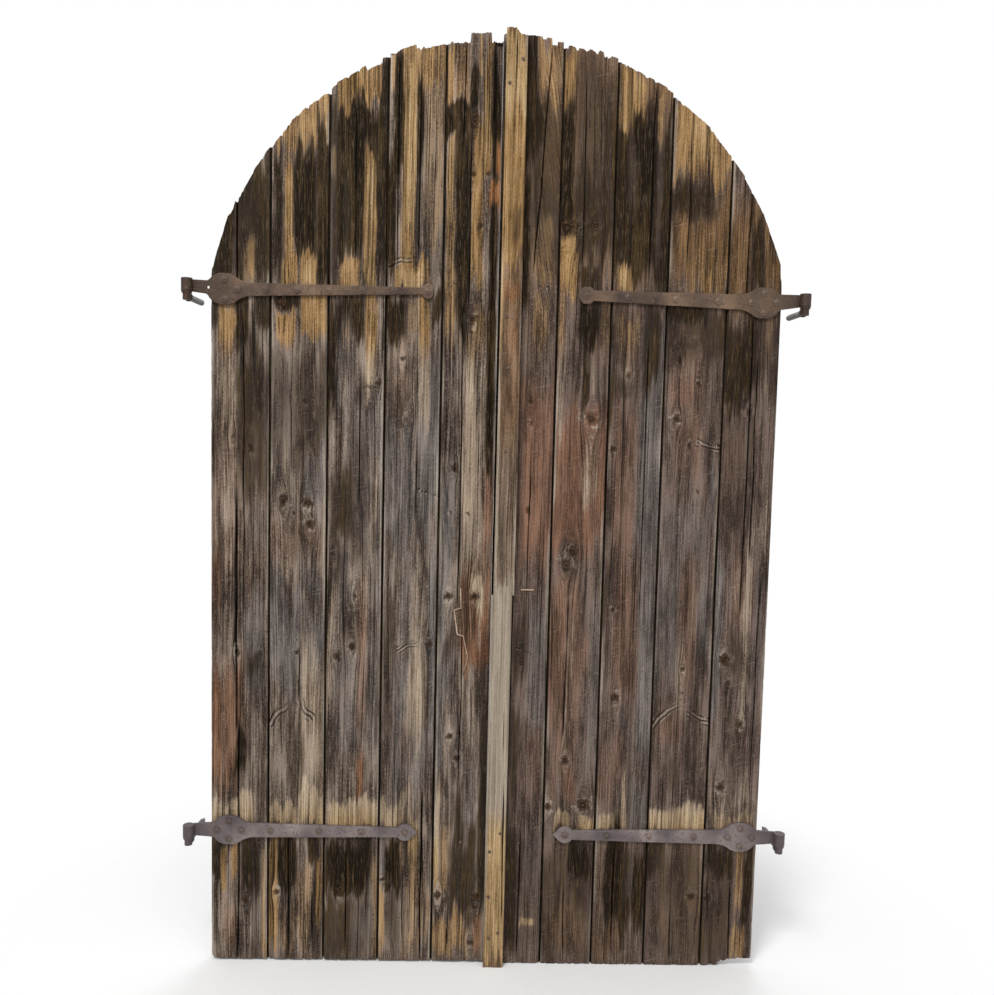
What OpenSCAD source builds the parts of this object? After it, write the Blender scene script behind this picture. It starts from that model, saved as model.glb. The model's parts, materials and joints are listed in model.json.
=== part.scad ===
// Arched double door of old boards, hung on forged strap hinges and pintles.
// Millimetres, +Z up. The front faces -Y. The origin is at the foot of the closed door,
// on the line where its two leaves meet and halfway through its depth.
// A leaf is drawn from its hinge edge (u = 0) to its meeting edge (u = leaf_w), with its
// boards' front face at y = 0, and is then put on its side of the door.

/* [Door] */
// Width of the closed door over both leaves
door_w = 1300; // [1150:10:1500]
// Open line between the two leaves where they meet
meeting_gap = 0.6; // [0.4:0.1:8]
// Height of the arch's centre above the foot of the door
arch_z = 1500; // [1440:10:1700]
// How much the arch's radius exceeds half the door's width
arch_extra = 12; // [8:1:60]
// How far the arch's centre lies to the right of the meeting line
arch_shift = 5; // [0:0.5:8]
// How much higher the left leaf ends at its foot
left_lift = 4; // [0:0.5:10]

/* [Boards] */
// Thickness of the boards
board_t = 28; // [22:1:40]
// Open joint between two boards that have shrunk
joint_gap = 4; // [2:0.5:7]
// Chamfer along the boards' front edges
arris = 2.5; // [1:0.5:5]
// Thickness of the tongue on a board's edge
tongue_t = 9; // [6:0.5:12]
// How far a tongue still reaches into its groove
tongue_bite = 6; // [3:0.5:10]
// Room around a tongue in its groove
groove_play = 0.5; // [0.3:0.1:1]
// Size that the wear of the upper board ends is measured by
end_wear = 10; // [2:1:14]
// Height of the broken foot at the right leaf's outer corner
foot_break = 20; // [5:1:40]

/* [Lost edge of the left leaf] */
// Width of the strip of wood that is lost from the meeting edge
lost_w = 17; // [8:1:25]
// Height above which the meeting edge is lost
lost_z = 1970; // [1850:10:2050]
// Depth of wood that is lost there
lost_d = 14; // [6:1:18]
// Width of the rotted channel beside that edge, at its top
channel_w = 14; // [6:1:20]
// Depth of the rotted channel
channel_d = 7; // [3:0.5:14]
// Height at which the rotted channel runs out
channel_z = 1190; // [1000:10:1500]

/* [Cover strip] */
// Width of the strip planted on the right leaf
strip_w = 48; // [36:1:70]
// Thickness of the cover strip
strip_t = 18; // [12:1:26]
// How far the strip rises above the arch
strip_rise = 10; // [4:1:24]
// Step of the strip's upper part away from the meeting edge
strip_step = 5; // [2:0.5:10]
// Height of that step above the foot of the door
strip_step_z = 901; // [700:1:1100]
// Height of the worn notch above that step
strip_notch_h = 19; // [8:1:40]
// Depth of the worn notch
strip_notch_d = 3; // [1:0.5:6]

/* [Ledges and braces] */
// Height of a ledge across the back
ledge_h = 110; // [100:1:150]
// Thickness of a ledge
ledge_t = 30; // [22:1:40]
// Bevel along a ledge's long back edges
ledge_bevel = 8; // [2:1:14]
// Distance from the leaf's hinge edge to a ledge's end
ledge_in = 5; // [3:1:7]
// Distance from the leaf's meeting edge to a ledge's end
ledge_out = 35; // [20:1:80]
// Width of a brace, measured level
brace_w = 110; // [70:1:140]
// Thickness of a brace
brace_t = 26; // [18:1:40]
// Distance of a brace's lower end from the hinge edge
brace_in = 20; // [10:1:60]
// Distance of a brace's upper end from the meeting edge
brace_out = 50; // [35:1:120]

/* [Strap hinges] */
// Height of the upper straps' middle line
upper_z = 1592; // [1500:1:1610]
// Height of the lower straps' middle line
lower_z = 325; // [200:1:450]
// Thickness of a strap
strap_t = 6; // [4:0.5:8]
// Width of a plain strap's bar at its oval
bar_w = 34; // [26:1:40]
// Width of a plain strap's bar at its tip
bar_tip_w = 23; // [18:1:32]
// Width of the long strap's bar at its oval
long_bar_w = 29; // [24:1:36]
// Width of the long strap's bar at its tip
long_tip_w = 15; // [12:1:20]
// Width of a strap's neck at its eye
neck_w = 26; // [20:1:27]
// How far an upper strap's oval hangs below its tip and its eye
upper_fall = 7; // [2:0.5:9]
// Half height of a strap's oval
oval_r = 35; // [33:0.5:42]
// How much the oval is longer than high, at each end
oval_spread = 5; // [2:0.5:10]
// Distance of the oval's middle from the leaf's hinge edge
oval_in = 43; // [42:0.5:60]
// The same distance on the long strap, which sits further out
long_oval_in = 32; // [26:0.5:33]
// Radius of the hollow where the oval runs into the neck
neck_hollow_r = 16; // [6:1:20]
// Radius of the hollow where the oval runs into the bar
bar_hollow_r = 60; // [20:1:80]
// Radius of a plain strap's end
tip_r = 20.5; // [16:0.5:26]
// Half width of the long strap's upright end
long_tip_r = 11.5; // [10:0.5:16]
// How much that end is higher than wide, up and down
long_tip_spread = 5.5; // [3:0.5:8]
// Reach of a pointed end from its middle
tip_reach = 30; // [28:0.5:40]

/* [Eyes and pintles] */
// Distance of the pin's axis from the leaf's hinge edge
eye_out = 50; // [46:0.5:70]
// Radius of the pin
pin_r = 6.45; // [4.5:0.05:8]
// Running clearance of the eye on its pin, on the radius
pin_play = 0.05; // [0.02:0.01:0.1]
// Height of an eye
eye_h = 29; // [29:1:50]
// Open seam where the rolled end meets the strap
seam_w = 1.2; // [0.6:0.1:2]
// Radius of the collar that an eye rests on
collar_r = 11.5; // [10:0.5:16]
// Thickness of that collar
collar_t = 4; // [2:0.5:8]
// Room between an eye and its collar
collar_play = 0.3; // [0.1:0.1:1]
// Radius of the knee under the collar
knee_r = 9; // [8.5:0.5:12]
// Radius of the shank that is let into the wall
shank_r = 7; // [5:0.5:8]
// Lip of the shoulder that stops the shank at the wall
stop_lip = 3; // [1.5:0.5:3]
// Thickness of that shoulder
stop_t = 5; // [3:0.5:10]
// How far the shank's round part reaches behind the boards' front face
shank_reach = 95; // [70:1:160]
// Length of the shank's point
shank_point = 15; // [5:1:30]

/* [Nails] */
// Side of a strap nail's square shank
nail_side = 6; // [4:0.5:8]
// Room around a nail in its hole
nail_play = 0.15; // [0.05:0.05:0.3]
// Radius of a strap nail's head
head_r = 8; // [6:0.5:10]
// Thickness of the head's rim
head_rim = 2; // [1:0.5:4]
// Height of the four forged faces on the head
head_rise = 3.5; // [2:0.5:6]
// Spacing of the oval's nails from its middle, along the strap
oval_nail_u = 29; // [24:0.5:32]
// Spacing of the oval's nails from its middle, across the strap
oval_nail_z = 22; // [18:0.5:26]
// Spacing of the long strap's empty outer hole from the oval's middle
empty_hole_u = 36; // [35:0.5:38]
// Length of the bent-over nail end at the back
clench_l = 22; // [14:1:24]
// Thickness of the bent-over nail end
clench_t = 4; // [2:0.5:6]
// Radius of a small nail's shank
brad_r = 1.6; // [1:0.1:2.5]
// Radius of a small nail's head
brad_head_r = 3.5; // [2.8:0.1:5]
// Thickness of a small nail's head
brad_head_t = 1; // [0.5:0.1:2]
// How far a small nail reaches into the piece behind
brad_bite = 18; // [8:1:20]

/* [Wire and staple] */
// Radius of the bent wire and of the staple
wire_r = 1.5; // [1:0.1:2.5]
// Height of the wire's bends
wire_h = 204; // [150:1:250]
// Width of the wire's bends
wire_w = 33; // [20:1:45]
// Distance of the wire's rightmost bend from the meeting edge
wire_in = 52; // [46:1:70]
// Height of the wire's upper end
wire_z = 913; // [850:1:950]
// How far wire and staple ends are driven into the board
wire_bite = 12; // [6:1:20]
// Length of the staple's back
staple_w = 28; // [15:1:40]
// Distance of the staple's nearer leg from the cover strip
staple_in = 17; // [8:1:25]
// Height of the staple
staple_z = 912; // [800:1:1000]

/* [Hidden] */
$fn = 48;
LEFT = 0;
RIGHT = 1;
UPPER_LEFT = 0;
UPPER_RIGHT = 1;
LOWER_LEFT = 2;
LOWER_RIGHT = 3;

// Every cut runs this far past the solid that it cuts
overrun = 1;
// Depth by which joined shapes run into each other, so that no two faces only touch
merge = 0.4;

leaf_w = (door_w - meeting_gap) / 2;
arch_r = door_w / 2 + arch_extra;
door_top = arch_z + arch_r + strip_rise;
last_board = 4;

// Widths of the boards from the hinge edge inwards, on the left and on the right leaf
board_shares = [
    [0.206, 0.203, 0.2, 0.198, 0.193],
    [0.193, 0.212, 0.195, 0.19, 0.21]
];

// Worn upper ends: where each stretch of a board's end stops, as a share of the board's
// width, and how far it stands beyond the arch, as a share of end_wear
end_shares = [
    [
        [[0.3, 0.4], [0.42, 0.15], [0.7, -0.15], [0.85, 0], [1, 0.15]],
        [[0.2, -0.35], [0.35, -0.05], [0.6, 0.15], [1, -0.05]],
        [[0.12, -0.25], [0.25, 0.1], [0.5, 0], [0.6, 0.25], [0.87, -0.7], [1, 0.2]],
        [[0.47, 0.45], [0.6, -0.5], [1, -0.8]],
        [[0.12, -0.75], [0.43, -1.15], [0.8, 0.6], [1, -1.2]]
    ],
    [
        [[0.06, -0.6], [0.4, -0.1], [0.75, -0.2], [1, 0.1]],
        [[0.25, -0.25], [0.4, 0.15], [1, 0.3]],
        [[0.15, 0.25], [1, 0.5]],
        [[0.2, 0.55], [0.3, 0.3], [0.4, 0.65], [0.55, 0.25], [0.92, -0.15], [1, -0.8]],
        [[0.14, 0.15], [0.22, -1], [0.55, 0.4], [1, 0.25]]
    ]
];

// Broken feet: places across a board, as shares of its width, and how far the wood is
// lost there, as shares of foot_break
whole_foot_shares = [[0, 0], [1, 0]];
chipped_foot_shares = [[0, 0.7], [0.05, 0.25], [0.1, 0], [1, 0]];
broken_foot_shares = [[0, 1], [0.46, 0.8], [0.62, 0.5], [0.7, 0], [0.76, 0.25], [0.87, 0], [1, 0]];

// Places of the strap nails between the oval and the tip, and of the tips across the leaf
bar_nail_shares = [
    [0.2, 0.355, 0.515, 0.675, 0.835],
    [0.26, 0.5, 0.77],
    [0.235, 0.51, 0.75],
    [0.265, 0.52, 0.76]
];
tip_shares = [0.756, 0.688, 0.705, 0.71];

// Half of a pointed tip's outline before its point: shares of tip_r
point_shares = [[0, 0.9], [0.62, 0.72]];

// Nails of the cover strip: shares of its width and of its height
strip_nail_shares = [
    [0.2, 0.968], [0.8, 0.944], [0.68, 0.708], [0.58, 0.655], [0.58, 0.568],
    [0.3, 0.153], [0.8, 0.132], [0.8, 0.081], [0.3, 0.04], [0.75, 0.034]
];

// The strip's sloping top: shares of its width and of strip_rise
strip_top_shares = [[1, 0.88], [0.55, 1], [0.32, -0.5], [0, -0.55]];

// Bends of the wire from its upper end: shares of wire_w and of wire_h
wire_shares = [
    [0.42, 0], [0.48, 0.23], [0, 0.255], [0.24, 0.535], [0.67, 0.555], [1, 0.79], [0.91, 0.89], [0.67, 1]
];

// Nails through the last board into a ledge: shares of its sound, uncovered width and the ledge's height
board_nail_shares = [[0.3, 0.2], [0.7, -0.22]];

// Eye: the rolled end of the strap, set back a little so that it blends into the strap's back
bore_r = pin_r + pin_play;
eye_r = bore_r + strap_t;
eye_set_share = 0.07;
eye_y = -eye_r * (1 - eye_set_share);
seam_turn = 24;

// The meeting edge is planed back so that a leaf's rear corner swings clear as its front corner does
swing_r = norm([leaf_w + eye_out, eye_y]);
meeting_back_u = sqrt(pow(swing_r, 2) - pow(board_t - eye_y, 2)) - eye_out;

// The depth from the eyes' front to the shanks' points is centred on the origin
front_y = (eye_r - eye_y - shank_reach - shank_point) / 2;

wood = ["#6b5a48", "#5c4d40", "#7a6853"];
iron = "#5a4a44";

function sum_to(list, n) = n == 0 ? 0 : list[n - 1] + sum_to(list, n - 1);
function board_from(leaf, i) = leaf_w * sum_to(board_shares[leaf], i);
function board_to(leaf, i) = board_from(leaf, i + 1);
function board_place(leaf, i, share) =
    board_from(leaf, i) + share * (board_to(leaf, i) - board_from(leaf, i));

// Height of the arch over the leaf at u, on a circle that is wear larger
function leaf_x(leaf, u) = leaf == LEFT ? u - door_w / 2 : door_w / 2 - u;
function arch_top(leaf, u, wear) =
    arch_z + sqrt(pow(arch_r + wear, 2) - pow(leaf_x(leaf, u) - arch_shift, 2));

function foot_z(leaf) = leaf == LEFT ? left_lift : 0;
function foot_shares(leaf, i) =
    i > 0 ? whole_foot_shares : leaf == LEFT ? chipped_foot_shares : broken_foot_shares;

function strap_leaf(strap) = strap == UPPER_LEFT || strap == LOWER_LEFT ? LEFT : RIGHT;
function strap_z(strap) = strap == UPPER_LEFT || strap == UPPER_RIGHT ? upper_z : lower_z;
function oval_u(strap) = strap == UPPER_LEFT ? long_oval_in : oval_in;
function tip_u(strap) = leaf_w * tip_shares[strap];

// A strap's middle line: from the oval's middle the bar runs to the tip and the neck to the eye
function strap_fall(strap) = strap == UPPER_LEFT || strap == UPPER_RIGHT ? upper_fall : 0;
function oval_middle(strap) = [oval_u(strap), strap_z(strap) - strap_fall(strap)];
function bar_line(strap) = [tip_u(strap) - oval_u(strap), strap_fall(strap)];
function neck_line(strap) = [-eye_out - oval_u(strap), strap_fall(strap)];

// Place at a distance along a line from the oval's middle, and to the line's left
function strap_place(strap, line, along, aside) =
    oval_middle(strap) + (line * along + [-line[1], line[0]] * aside) / norm(line);

// Nails of one strap as [u, z], measured on the leaf
function strap_nails(strap) = let (bar = bar_line(strap)) concat(
    [for (place = [[oval_nail_u, 0], [0, oval_nail_z], [0, -oval_nail_z]])
        strap_place(strap, bar, place[0], place[1])],
    strap == UPPER_LEFT ? [] : [strap_place(strap, neck_line(strap), oval_nail_u, 0)],
    [for (share = concat(bar_nail_shares[strap], [1]))
        strap_place(strap, bar, share * norm(bar), 0)]
);

// Middle line of a brace between the two ledges
brace_low = lower_z + ledge_h / 2;
brace_high = upper_z - ledge_h / 2;
brace_top_u = leaf_w - brace_out - brace_w;
function brace_z(u) =
    brace_low + (brace_high - brace_low) * (u - brace_in - brace_w / 2) / (brace_top_u - brace_in);

// Small nails of one leaf as [u, z]: the last board into both ledges, the middle ones into the brace
function nail_room(leaf) = board_to(leaf, last_board) - board_from(leaf, last_board)
    - (leaf == RIGHT ? strip_w + strip_step : lost_w + channel_w);
function board_nails(leaf) = concat(
    [for (z = [lower_z, upper_z], share = board_nail_shares)
        [board_from(leaf, last_board) + share[0] * nail_room(leaf), z + ledge_h * share[1]]],
    [for (i = [1 : last_board - 1])
        [board_place(leaf, i, 1 / 2), brace_z(board_place(leaf, i, 1 / 2))]]
);

// Cover strip: its two parts' edges on the right leaf
strip_low_u = leaf_w - strip_w;
strip_high_u = strip_low_u - strip_step;
function strip_nail(share) = [
    (share[1] * door_top > strip_step_z ? strip_high_u : strip_low_u) + share[0] * strip_w,
    share[1] * door_top
];

// Puts what is drawn on a leaf on its side of the door
module on_leaf(leaf) {
    translate([0, front_y, 0])
        mirror([leaf == RIGHT ? 1 : 0, 0, 0])
            translate([-door_w / 2, 0, 0])
                children();
}

// Extrudes an outline that is drawn in u and z, from depth y to y + t
module slab(y, t) {
    translate([0, y + t, 0])
        rotate([90, 0, 0])
            linear_extrude(height = t)
                children();
}

// Square holes or shanks of strap nails between two depths
module nail_shanks(nails, side, y_from, y_to) {
    for (nail = nails)
        translate([nail[0] - side / 2, y_from, nail[1] - side / 2])
            cube([side, y_to - y_from, side]);
}

// Round holes or shanks of small nails between two depths
module brad_shanks(nails, r, y_from, y_to) {
    for (nail = nails)
        translate([nail[0], y_from, nail[1]])
            rotate([-90, 0, 0])
                cylinder(r = r, h = y_to - y_from);
}

// A board across its width, seen from above, with its tongue and groove
module board_section(leaf, i) {
    from = board_from(leaf, i) + (i > 0 ? joint_gap / 2 : 0);
    to = board_to(leaf, i) - joint_gap / 2;
    tongue_y = (board_t - tongue_t) / 2;
    edge = i < last_board
        ? [[to - arris, 0], [to, arris], [to, board_t]]
        : [[leaf_w, 0], [meeting_back_u, board_t]];
    difference() {
        union() {
            polygon(concat([[from + arris, 0]], edge, [[from, board_t], [from, arris]]));
            if (i < last_board)
                translate([to - merge, tongue_y])
                    square([merge + joint_gap + tongue_bite, tongue_t]);
        }
        if (i > 0)
            translate([from - overrun, tongue_y - groove_play])
                square([overrun + tongue_bite + groove_play, tongue_t + 2 * groove_play]);
    }
}

// A board's outline from the front: its foot, and the stretches of its worn upper end
module board_outline(leaf, i) {
    ends = end_shares[leaf][i];
    last = len(ends) - 1;
    beyond = i < last_board ? joint_gap + tongue_bite : 0;
    function end_u(k) = board_place(leaf, i, ends[k][0]) + (k == last ? beyond : 0);
    function start_u(k) = k == 0 ? board_from(leaf, i) : end_u(k - 1);
    polygon(concat(
        [for (p = foot_shares(leaf, i))
            [board_place(leaf, i, p[0]) + (p[0] == 1 ? beyond : 0), foot_z(leaf) + p[1] * foot_break]],
        [for (k = [last : -1 : 0], u = [end_u(k), start_u(k)])
            [u, arch_top(leaf, u, ends[k][1] * end_wear)]]
    ));
}

// Wood lost from the left leaf's meeting edge: a rebate at the top and a channel beside it
module lost_edge() {
    slab(-overrun, lost_d + overrun)
        translate([leaf_w - lost_w, lost_z])
            square([lost_w + overrun, door_top - lost_z]);
    slab(-overrun, channel_d + overrun)
        polygon([
            [leaf_w - lost_w, channel_z],
            [leaf_w - lost_w + merge, door_top],
            [leaf_w - lost_w - channel_w, door_top],
            [leaf_w - lost_w - channel_w * 2 / 3, (channel_z + lost_z) / 2]
        ]);
}

module board(leaf, i) {
    straps = leaf == LEFT ? [UPPER_LEFT, LOWER_LEFT] : [UPPER_RIGHT, LOWER_RIGHT];
    from = board_from(leaf, i) - nail_side;
    to = board_to(leaf, i) + joint_gap + tongue_bite + nail_side;
    function here(nails) = [for (nail = nails) if (nail[0] > from && nail[0] < to) nail];
    color(wood[i % len(wood)])
        on_leaf(leaf)
            difference() {
                intersection() {
                    linear_extrude(height = door_top)
                        board_section(leaf, i);
                    slab(-overrun, board_t + 2 * overrun)
                        board_outline(leaf, i);
                }
                for (strap = straps)
                    nail_shanks(here(strap_nails(strap)), nail_side + 2 * nail_play,
                        -overrun, board_t + overrun);
                brad_shanks(here(board_nails(leaf)), brad_r + nail_play, -overrun, board_t + overrun);
                if (leaf == LEFT && i == last_board) {
                    lost_edge();
                    brad_shanks([wire_points()[0] - [0, wire_r]], wire_r + nail_play,
                        -overrun, wire_bite + nail_play);
                }
                if (leaf == RIGHT && i == last_board) {
                    brad_shanks([for (share = strip_nail_shares) strip_nail(share)],
                        brad_r + nail_play, -overrun, brad_bite + nail_play);
                    brad_shanks(staple_legs(), wire_r + nail_play, -overrun, wire_bite + nail_play);
                }
            }
}

// Ledge across a leaf's back at height z, bevelled along its back edges
module ledge(leaf, z, strap) {
    color(wood[0])
        on_leaf(leaf)
            difference() {
                translate([ledge_in, 0, z])
                    rotate([90, 0, 90])
                        linear_extrude(height = leaf_w - ledge_in - ledge_out)
                            polygon([
                                [board_t, -ledge_h / 2],
                                [board_t + ledge_t - ledge_bevel, -ledge_h / 2],
                                [board_t + ledge_t, ledge_bevel - ledge_h / 2],
                                [board_t + ledge_t, ledge_h / 2 - ledge_bevel],
                                [board_t + ledge_t - ledge_bevel, ledge_h / 2],
                                [board_t, ledge_h / 2]
                            ]);
                nail_shanks(strap_nails(strap), nail_side + 2 * nail_play,
                    board_t - overrun, board_t + ledge_t + overrun);
                brad_shanks(board_nails(leaf), brad_r + nail_play,
                    board_t - overrun, board_t + brad_bite + nail_play);
            }
}

// Brace that rises from the lower ledge at the hinge side to the upper one at the meeting side
module brace(leaf) {
    color(wood[1])
        on_leaf(leaf)
            difference() {
                slab(board_t, brace_t)
                    polygon([
                        [brace_in, brace_low], [brace_in + brace_w, brace_low],
                        [brace_top_u + brace_w, brace_high], [brace_top_u, brace_high]
                    ]);
                brad_shanks(board_nails(leaf), brad_r + nail_play,
                    board_t - overrun, board_t + brad_bite + nail_play);
            }
}

// Hollow of radius h that runs from the oval's round end into an arm of half width b, above the arm
function hollow_centre(b, h) =
    [sqrt(pow(oval_r + h - merge, 2) - pow(b + h - merge, 2)), b + h - merge];
module hollow(b, h) {
    centre = hollow_centre(b, h);
    inside_share = (oval_r - 2 * merge) / (oval_r + h - merge);
    difference() {
        polygon([[0, 0], [centre[0], 0], centre, centre * inside_share]);
        translate(centre)
            circle(r = h);
    }
}

// Half of a strap's oval and the arm that runs from its middle along u, tapering beyond the hollows
module strap_arm(run, near_w, far_w, hollow_r) {
    straight = oval_spread + hollow_centre(near_w / 2, hollow_r)[0];
    translate([oval_spread, 0]) {
        circle(r = oval_r);
        for (up = [0, 1])
            mirror([0, up, 0])
                hollow(near_w / 2, hollow_r);
    }
    polygon([
        [0, -near_w / 2], [straight, -near_w / 2], [run, -far_w / 2],
        [run, far_w / 2], [straight, near_w / 2], [0, near_w / 2]
    ]);
}

// A strap from the front, from its eye's axis at u = -eye_out to its tip
module strap_outline(strap) {
    bar = bar_line(strap);
    neck = neck_line(strap);
    long = strap == UPPER_LEFT;
    near_w = long ? long_bar_w : bar_w;
    translate(oval_middle(strap)) {
        rotate(atan2(bar[1], bar[0])) {
            strap_arm(norm(bar), near_w, long ? long_tip_w : bar_tip_w, bar_hollow_r);
            translate([norm(bar), 0])
                strap_tip(strap);
        }
        rotate(atan2(neck[1], neck[0]))
            strap_arm(norm(neck), near_w, neck_w, neck_hollow_r);
    }
}

// The long strap ends in a small upright oval, the upper right one in an octagon, the lower ones in a point
module strap_tip(strap) {
    if (strap == UPPER_LEFT)
        for (up = [-1, 0, 1])
            translate([0, up * long_tip_spread])
                circle(r = long_tip_r);
    else if (strap == UPPER_RIGHT)
        rotate(180 / 8)
            circle(r = tip_r, $fn = 8);
    else {
        circle(r = tip_r);
        polygon(concat(
            [for (p = point_shares) [p[0], -p[1]] * tip_r],
            [[tip_reach, 0]],
            [for (k = [len(point_shares) - 1 : -1 : 0]) point_shares[k] * tip_r]
        ));
    }
}

module strap(strap) {
    eye = [-eye_out, eye_y, strap_z(strap) - eye_h / 2];
    color(iron)
        on_leaf(strap_leaf(strap))
            difference() {
                union() {
                    slab(-strap_t, strap_t)
                        strap_outline(strap);
                    translate(eye)
                        cylinder(r = eye_r, h = eye_h);
                }
                translate(eye - [0, 0, overrun]) {
                    cylinder(r = bore_r, h = eye_h + 2 * overrun);
                    rotate(seam_turn)
                        translate([bore_r - strap_t / 2, -seam_w, 0])
                            cube([2 * strap_t, seam_w, eye_h + 2 * overrun]);
                }
                nail_shanks(strap_nails(strap), nail_side + 2 * nail_play, -strap_t - overrun, overrun);
                if (strap == UPPER_LEFT)
                    nail_shanks([strap_place(strap, neck_line(strap), empty_hole_u, 0)], nail_side,
                        -strap_t - overrun, overrun);
            }
}

// Forged nails of one strap: a round head with four faces, a square shank, an end bent over
module strap_nails_group(strap) {
    nails = strap_nails(strap);
    back = board_t + ledge_t;
    color(iron)
        on_leaf(strap_leaf(strap)) {
            nail_shanks(nails, nail_side, -strap_t - head_rim / 2, back + clench_t);
            for (nail = nails) {
                translate([nail[0], -strap_t, nail[1]])
                    rotate([90, 0, 0]) {
                        cylinder(r = head_r, h = head_rim);
                        translate([0, 0, head_rim - merge])
                            rotate(360 / 8)
                                linear_extrude(height = head_rise, scale = 1 / 3)
                                    square(head_r * sqrt(2) - merge, center = true);
                    }
                translate([nail[0] - nail_side / 2, back, nail[1] - nail_side / 2])
                    cube([clench_l, clench_t, nail_side]);
            }
        }
}

// Small nails with flat heads, driven from depth y through a piece of thickness t
module brads(nails, y, t) {
    brad_shanks(nails, brad_r, y - brad_head_t / 2, y + t + brad_bite);
    brad_shanks(nails, brad_head_r, y - brad_head_t, y);
}

module board_nails_group(leaf) {
    color(iron)
        on_leaf(leaf)
            brads(board_nails(leaf), 0, board_t);
}

// Strip planted on the right leaf beside the meeting line, stepped and worn where a bolt once ran
module cover_strip() {
    color(wood[2])
        on_leaf(RIGHT)
            difference() {
                slab(-strip_t, strip_t)
                    polygon(concat(
                        [
                            [strip_low_u, 0], [strip_low_u + strip_w, 0],
                            [strip_low_u + strip_w, strip_step_z], [strip_high_u + strip_w, strip_step_z]
                        ],
                        [for (p = strip_top_shares)
                            [strip_high_u + p[0] * strip_w, door_top - strip_rise + p[1] * strip_rise]],
                        [[strip_high_u, strip_step_z], [strip_low_u, strip_step_z]]
                    ));
                translate([strip_high_u - overrun, -strip_t - overrun, strip_step_z])
                    cube([strip_w + strip_step + 2 * overrun, strip_notch_d + overrun, strip_notch_h]);
                brad_shanks([for (share = strip_nail_shares) strip_nail(share)],
                    brad_r + nail_play, -strip_t - overrun, overrun);
            }
}

module cover_strip_nails() {
    color(iron)
        on_leaf(RIGHT)
            brads([for (share = strip_nail_shares) strip_nail(share)], -strip_t, strip_t);
}

// Bends of the wire on the left leaf as [u, z]
function wire_points() = [for (p = wire_shares)
    [leaf_w - wire_in - wire_w + p[0] * wire_w, wire_z - p[1] * wire_h]];

// Direction across the wire at each bend, lengthened so that the wire keeps its thickness there
function across(run) = [run[1], -run[0]] / norm(run);
function wire_side(points, k) =
    k == 0 ? across(points[1] - points[0])
    : k == len(points) - 1 ? across(points[k] - points[k - 1])
    : let (before = across(points[k] - points[k - 1]), after = across(points[k + 1] - points[k]))
        (before + after) / (1 + before * after);

// Bent wire that lies against the last board, its upper end driven into the wood
module latch_wire() {
    points = wire_points();
    count = len(points);
    sides = 8;
    rings = [for (k = [0 : count - 1], j = [0 : sides - 1])
        let (side = wire_side(points, k) * wire_r * cos(360 * j / sides))
        [points[k][0] + side[0], wire_r * sin(360 * j / sides), points[k][1] + side[1]]];
    walls = [for (k = [0 : count - 2], j = [0 : sides - 1])
        let (next = (j + 1) % sides)
        [k * sides + j, (k + 1) * sides + j, (k + 1) * sides + next, k * sides + next]];
    caps = [[for (j = [0 : sides - 1]) j], [for (j = [sides - 1 : -1 : 0]) (count - 1) * sides + j]];
    color(iron)
        on_leaf(LEFT)
            translate([0, -wire_r - nail_play, 0]) {
                polyhedron(points = rings, faces = concat(walls, caps));
                brad_shanks([points[0] - [0, wire_r]], wire_r, 0, wire_r + nail_play + wire_bite);
            }
}

function staple_legs() = [for (end = [0, 1]) [strip_high_u - staple_in - end * staple_w, staple_z]];

// Staple on the right leaf's last board
module staple() {
    color(iron)
        on_leaf(RIGHT) {
            translate([strip_high_u - staple_in - staple_w, -wire_r - nail_play, staple_z])
                rotate([0, 90, 0])
                    cylinder(r = wire_r, h = staple_w);
            for (leg = staple_legs())
                translate([leg[0], -wire_r - nail_play, leg[1]])
                    sphere(r = wire_r);
            brad_shanks(staple_legs(), wire_r, -wire_r - nail_play, wire_bite);
        }
}

// Pintle: the upright pin in the eye, the collar that carries it, the knee and the wall shank
// with the shoulder that it is driven home to
module pintle(strap) {
    collar_z = strap_z(strap) - eye_h / 2 - collar_play - collar_t;
    knee_h = 2 * (shank_r + merge);
    color(iron)
        on_leaf(strap_leaf(strap))
            translate([-eye_out, eye_y, collar_z]) {
                cylinder(r = pin_r, h = collar_t + collar_play + eye_h);
                cylinder(r = collar_r, h = collar_t);
                translate([0, 0, -knee_h])
                    cylinder(r = knee_r, h = knee_h + merge);
                translate([0, 0, -knee_h / 2])
                    rotate([-90, 0, 0]) {
                        cylinder(r = shank_r, h = shank_reach - eye_y);
                        translate([0, 0, knee_r - merge])
                            cylinder(r = shank_r + stop_lip, h = stop_t + merge);
                        translate([0, 0, shank_reach - eye_y])
                            cylinder(r1 = shank_r, r2 = shank_r / 3, h = shank_point);
                    }
            }
}

board(LEFT, 0);  // left_board_1
board(LEFT, 1);  // left_board_2
board(LEFT, 2);  // left_board_3
board(LEFT, 3);  // left_board_4
board(LEFT, 4);  // left_board_5
board(RIGHT, 0);  // right_board_1
board(RIGHT, 1);  // right_board_2
board(RIGHT, 2);  // right_board_3
board(RIGHT, 3);  // right_board_4
board(RIGHT, 4);  // right_board_5
ledge(LEFT, upper_z, UPPER_LEFT);  // left_upper_ledge
ledge(LEFT, lower_z, LOWER_LEFT);  // left_lower_ledge
ledge(RIGHT, upper_z, UPPER_RIGHT);  // right_upper_ledge
ledge(RIGHT, lower_z, LOWER_RIGHT);  // right_lower_ledge
brace(LEFT);  // left_brace
brace(RIGHT);  // right_brace
strap(UPPER_LEFT);  // left_upper_strap
strap(UPPER_RIGHT);  // right_upper_strap
strap(LOWER_LEFT);  // left_lower_strap
strap(LOWER_RIGHT);  // right_lower_strap
strap_nails_group(UPPER_LEFT);  // left_upper_strap_nails
strap_nails_group(UPPER_RIGHT);  // right_upper_strap_nails
strap_nails_group(LOWER_LEFT);  // left_lower_strap_nails
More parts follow.
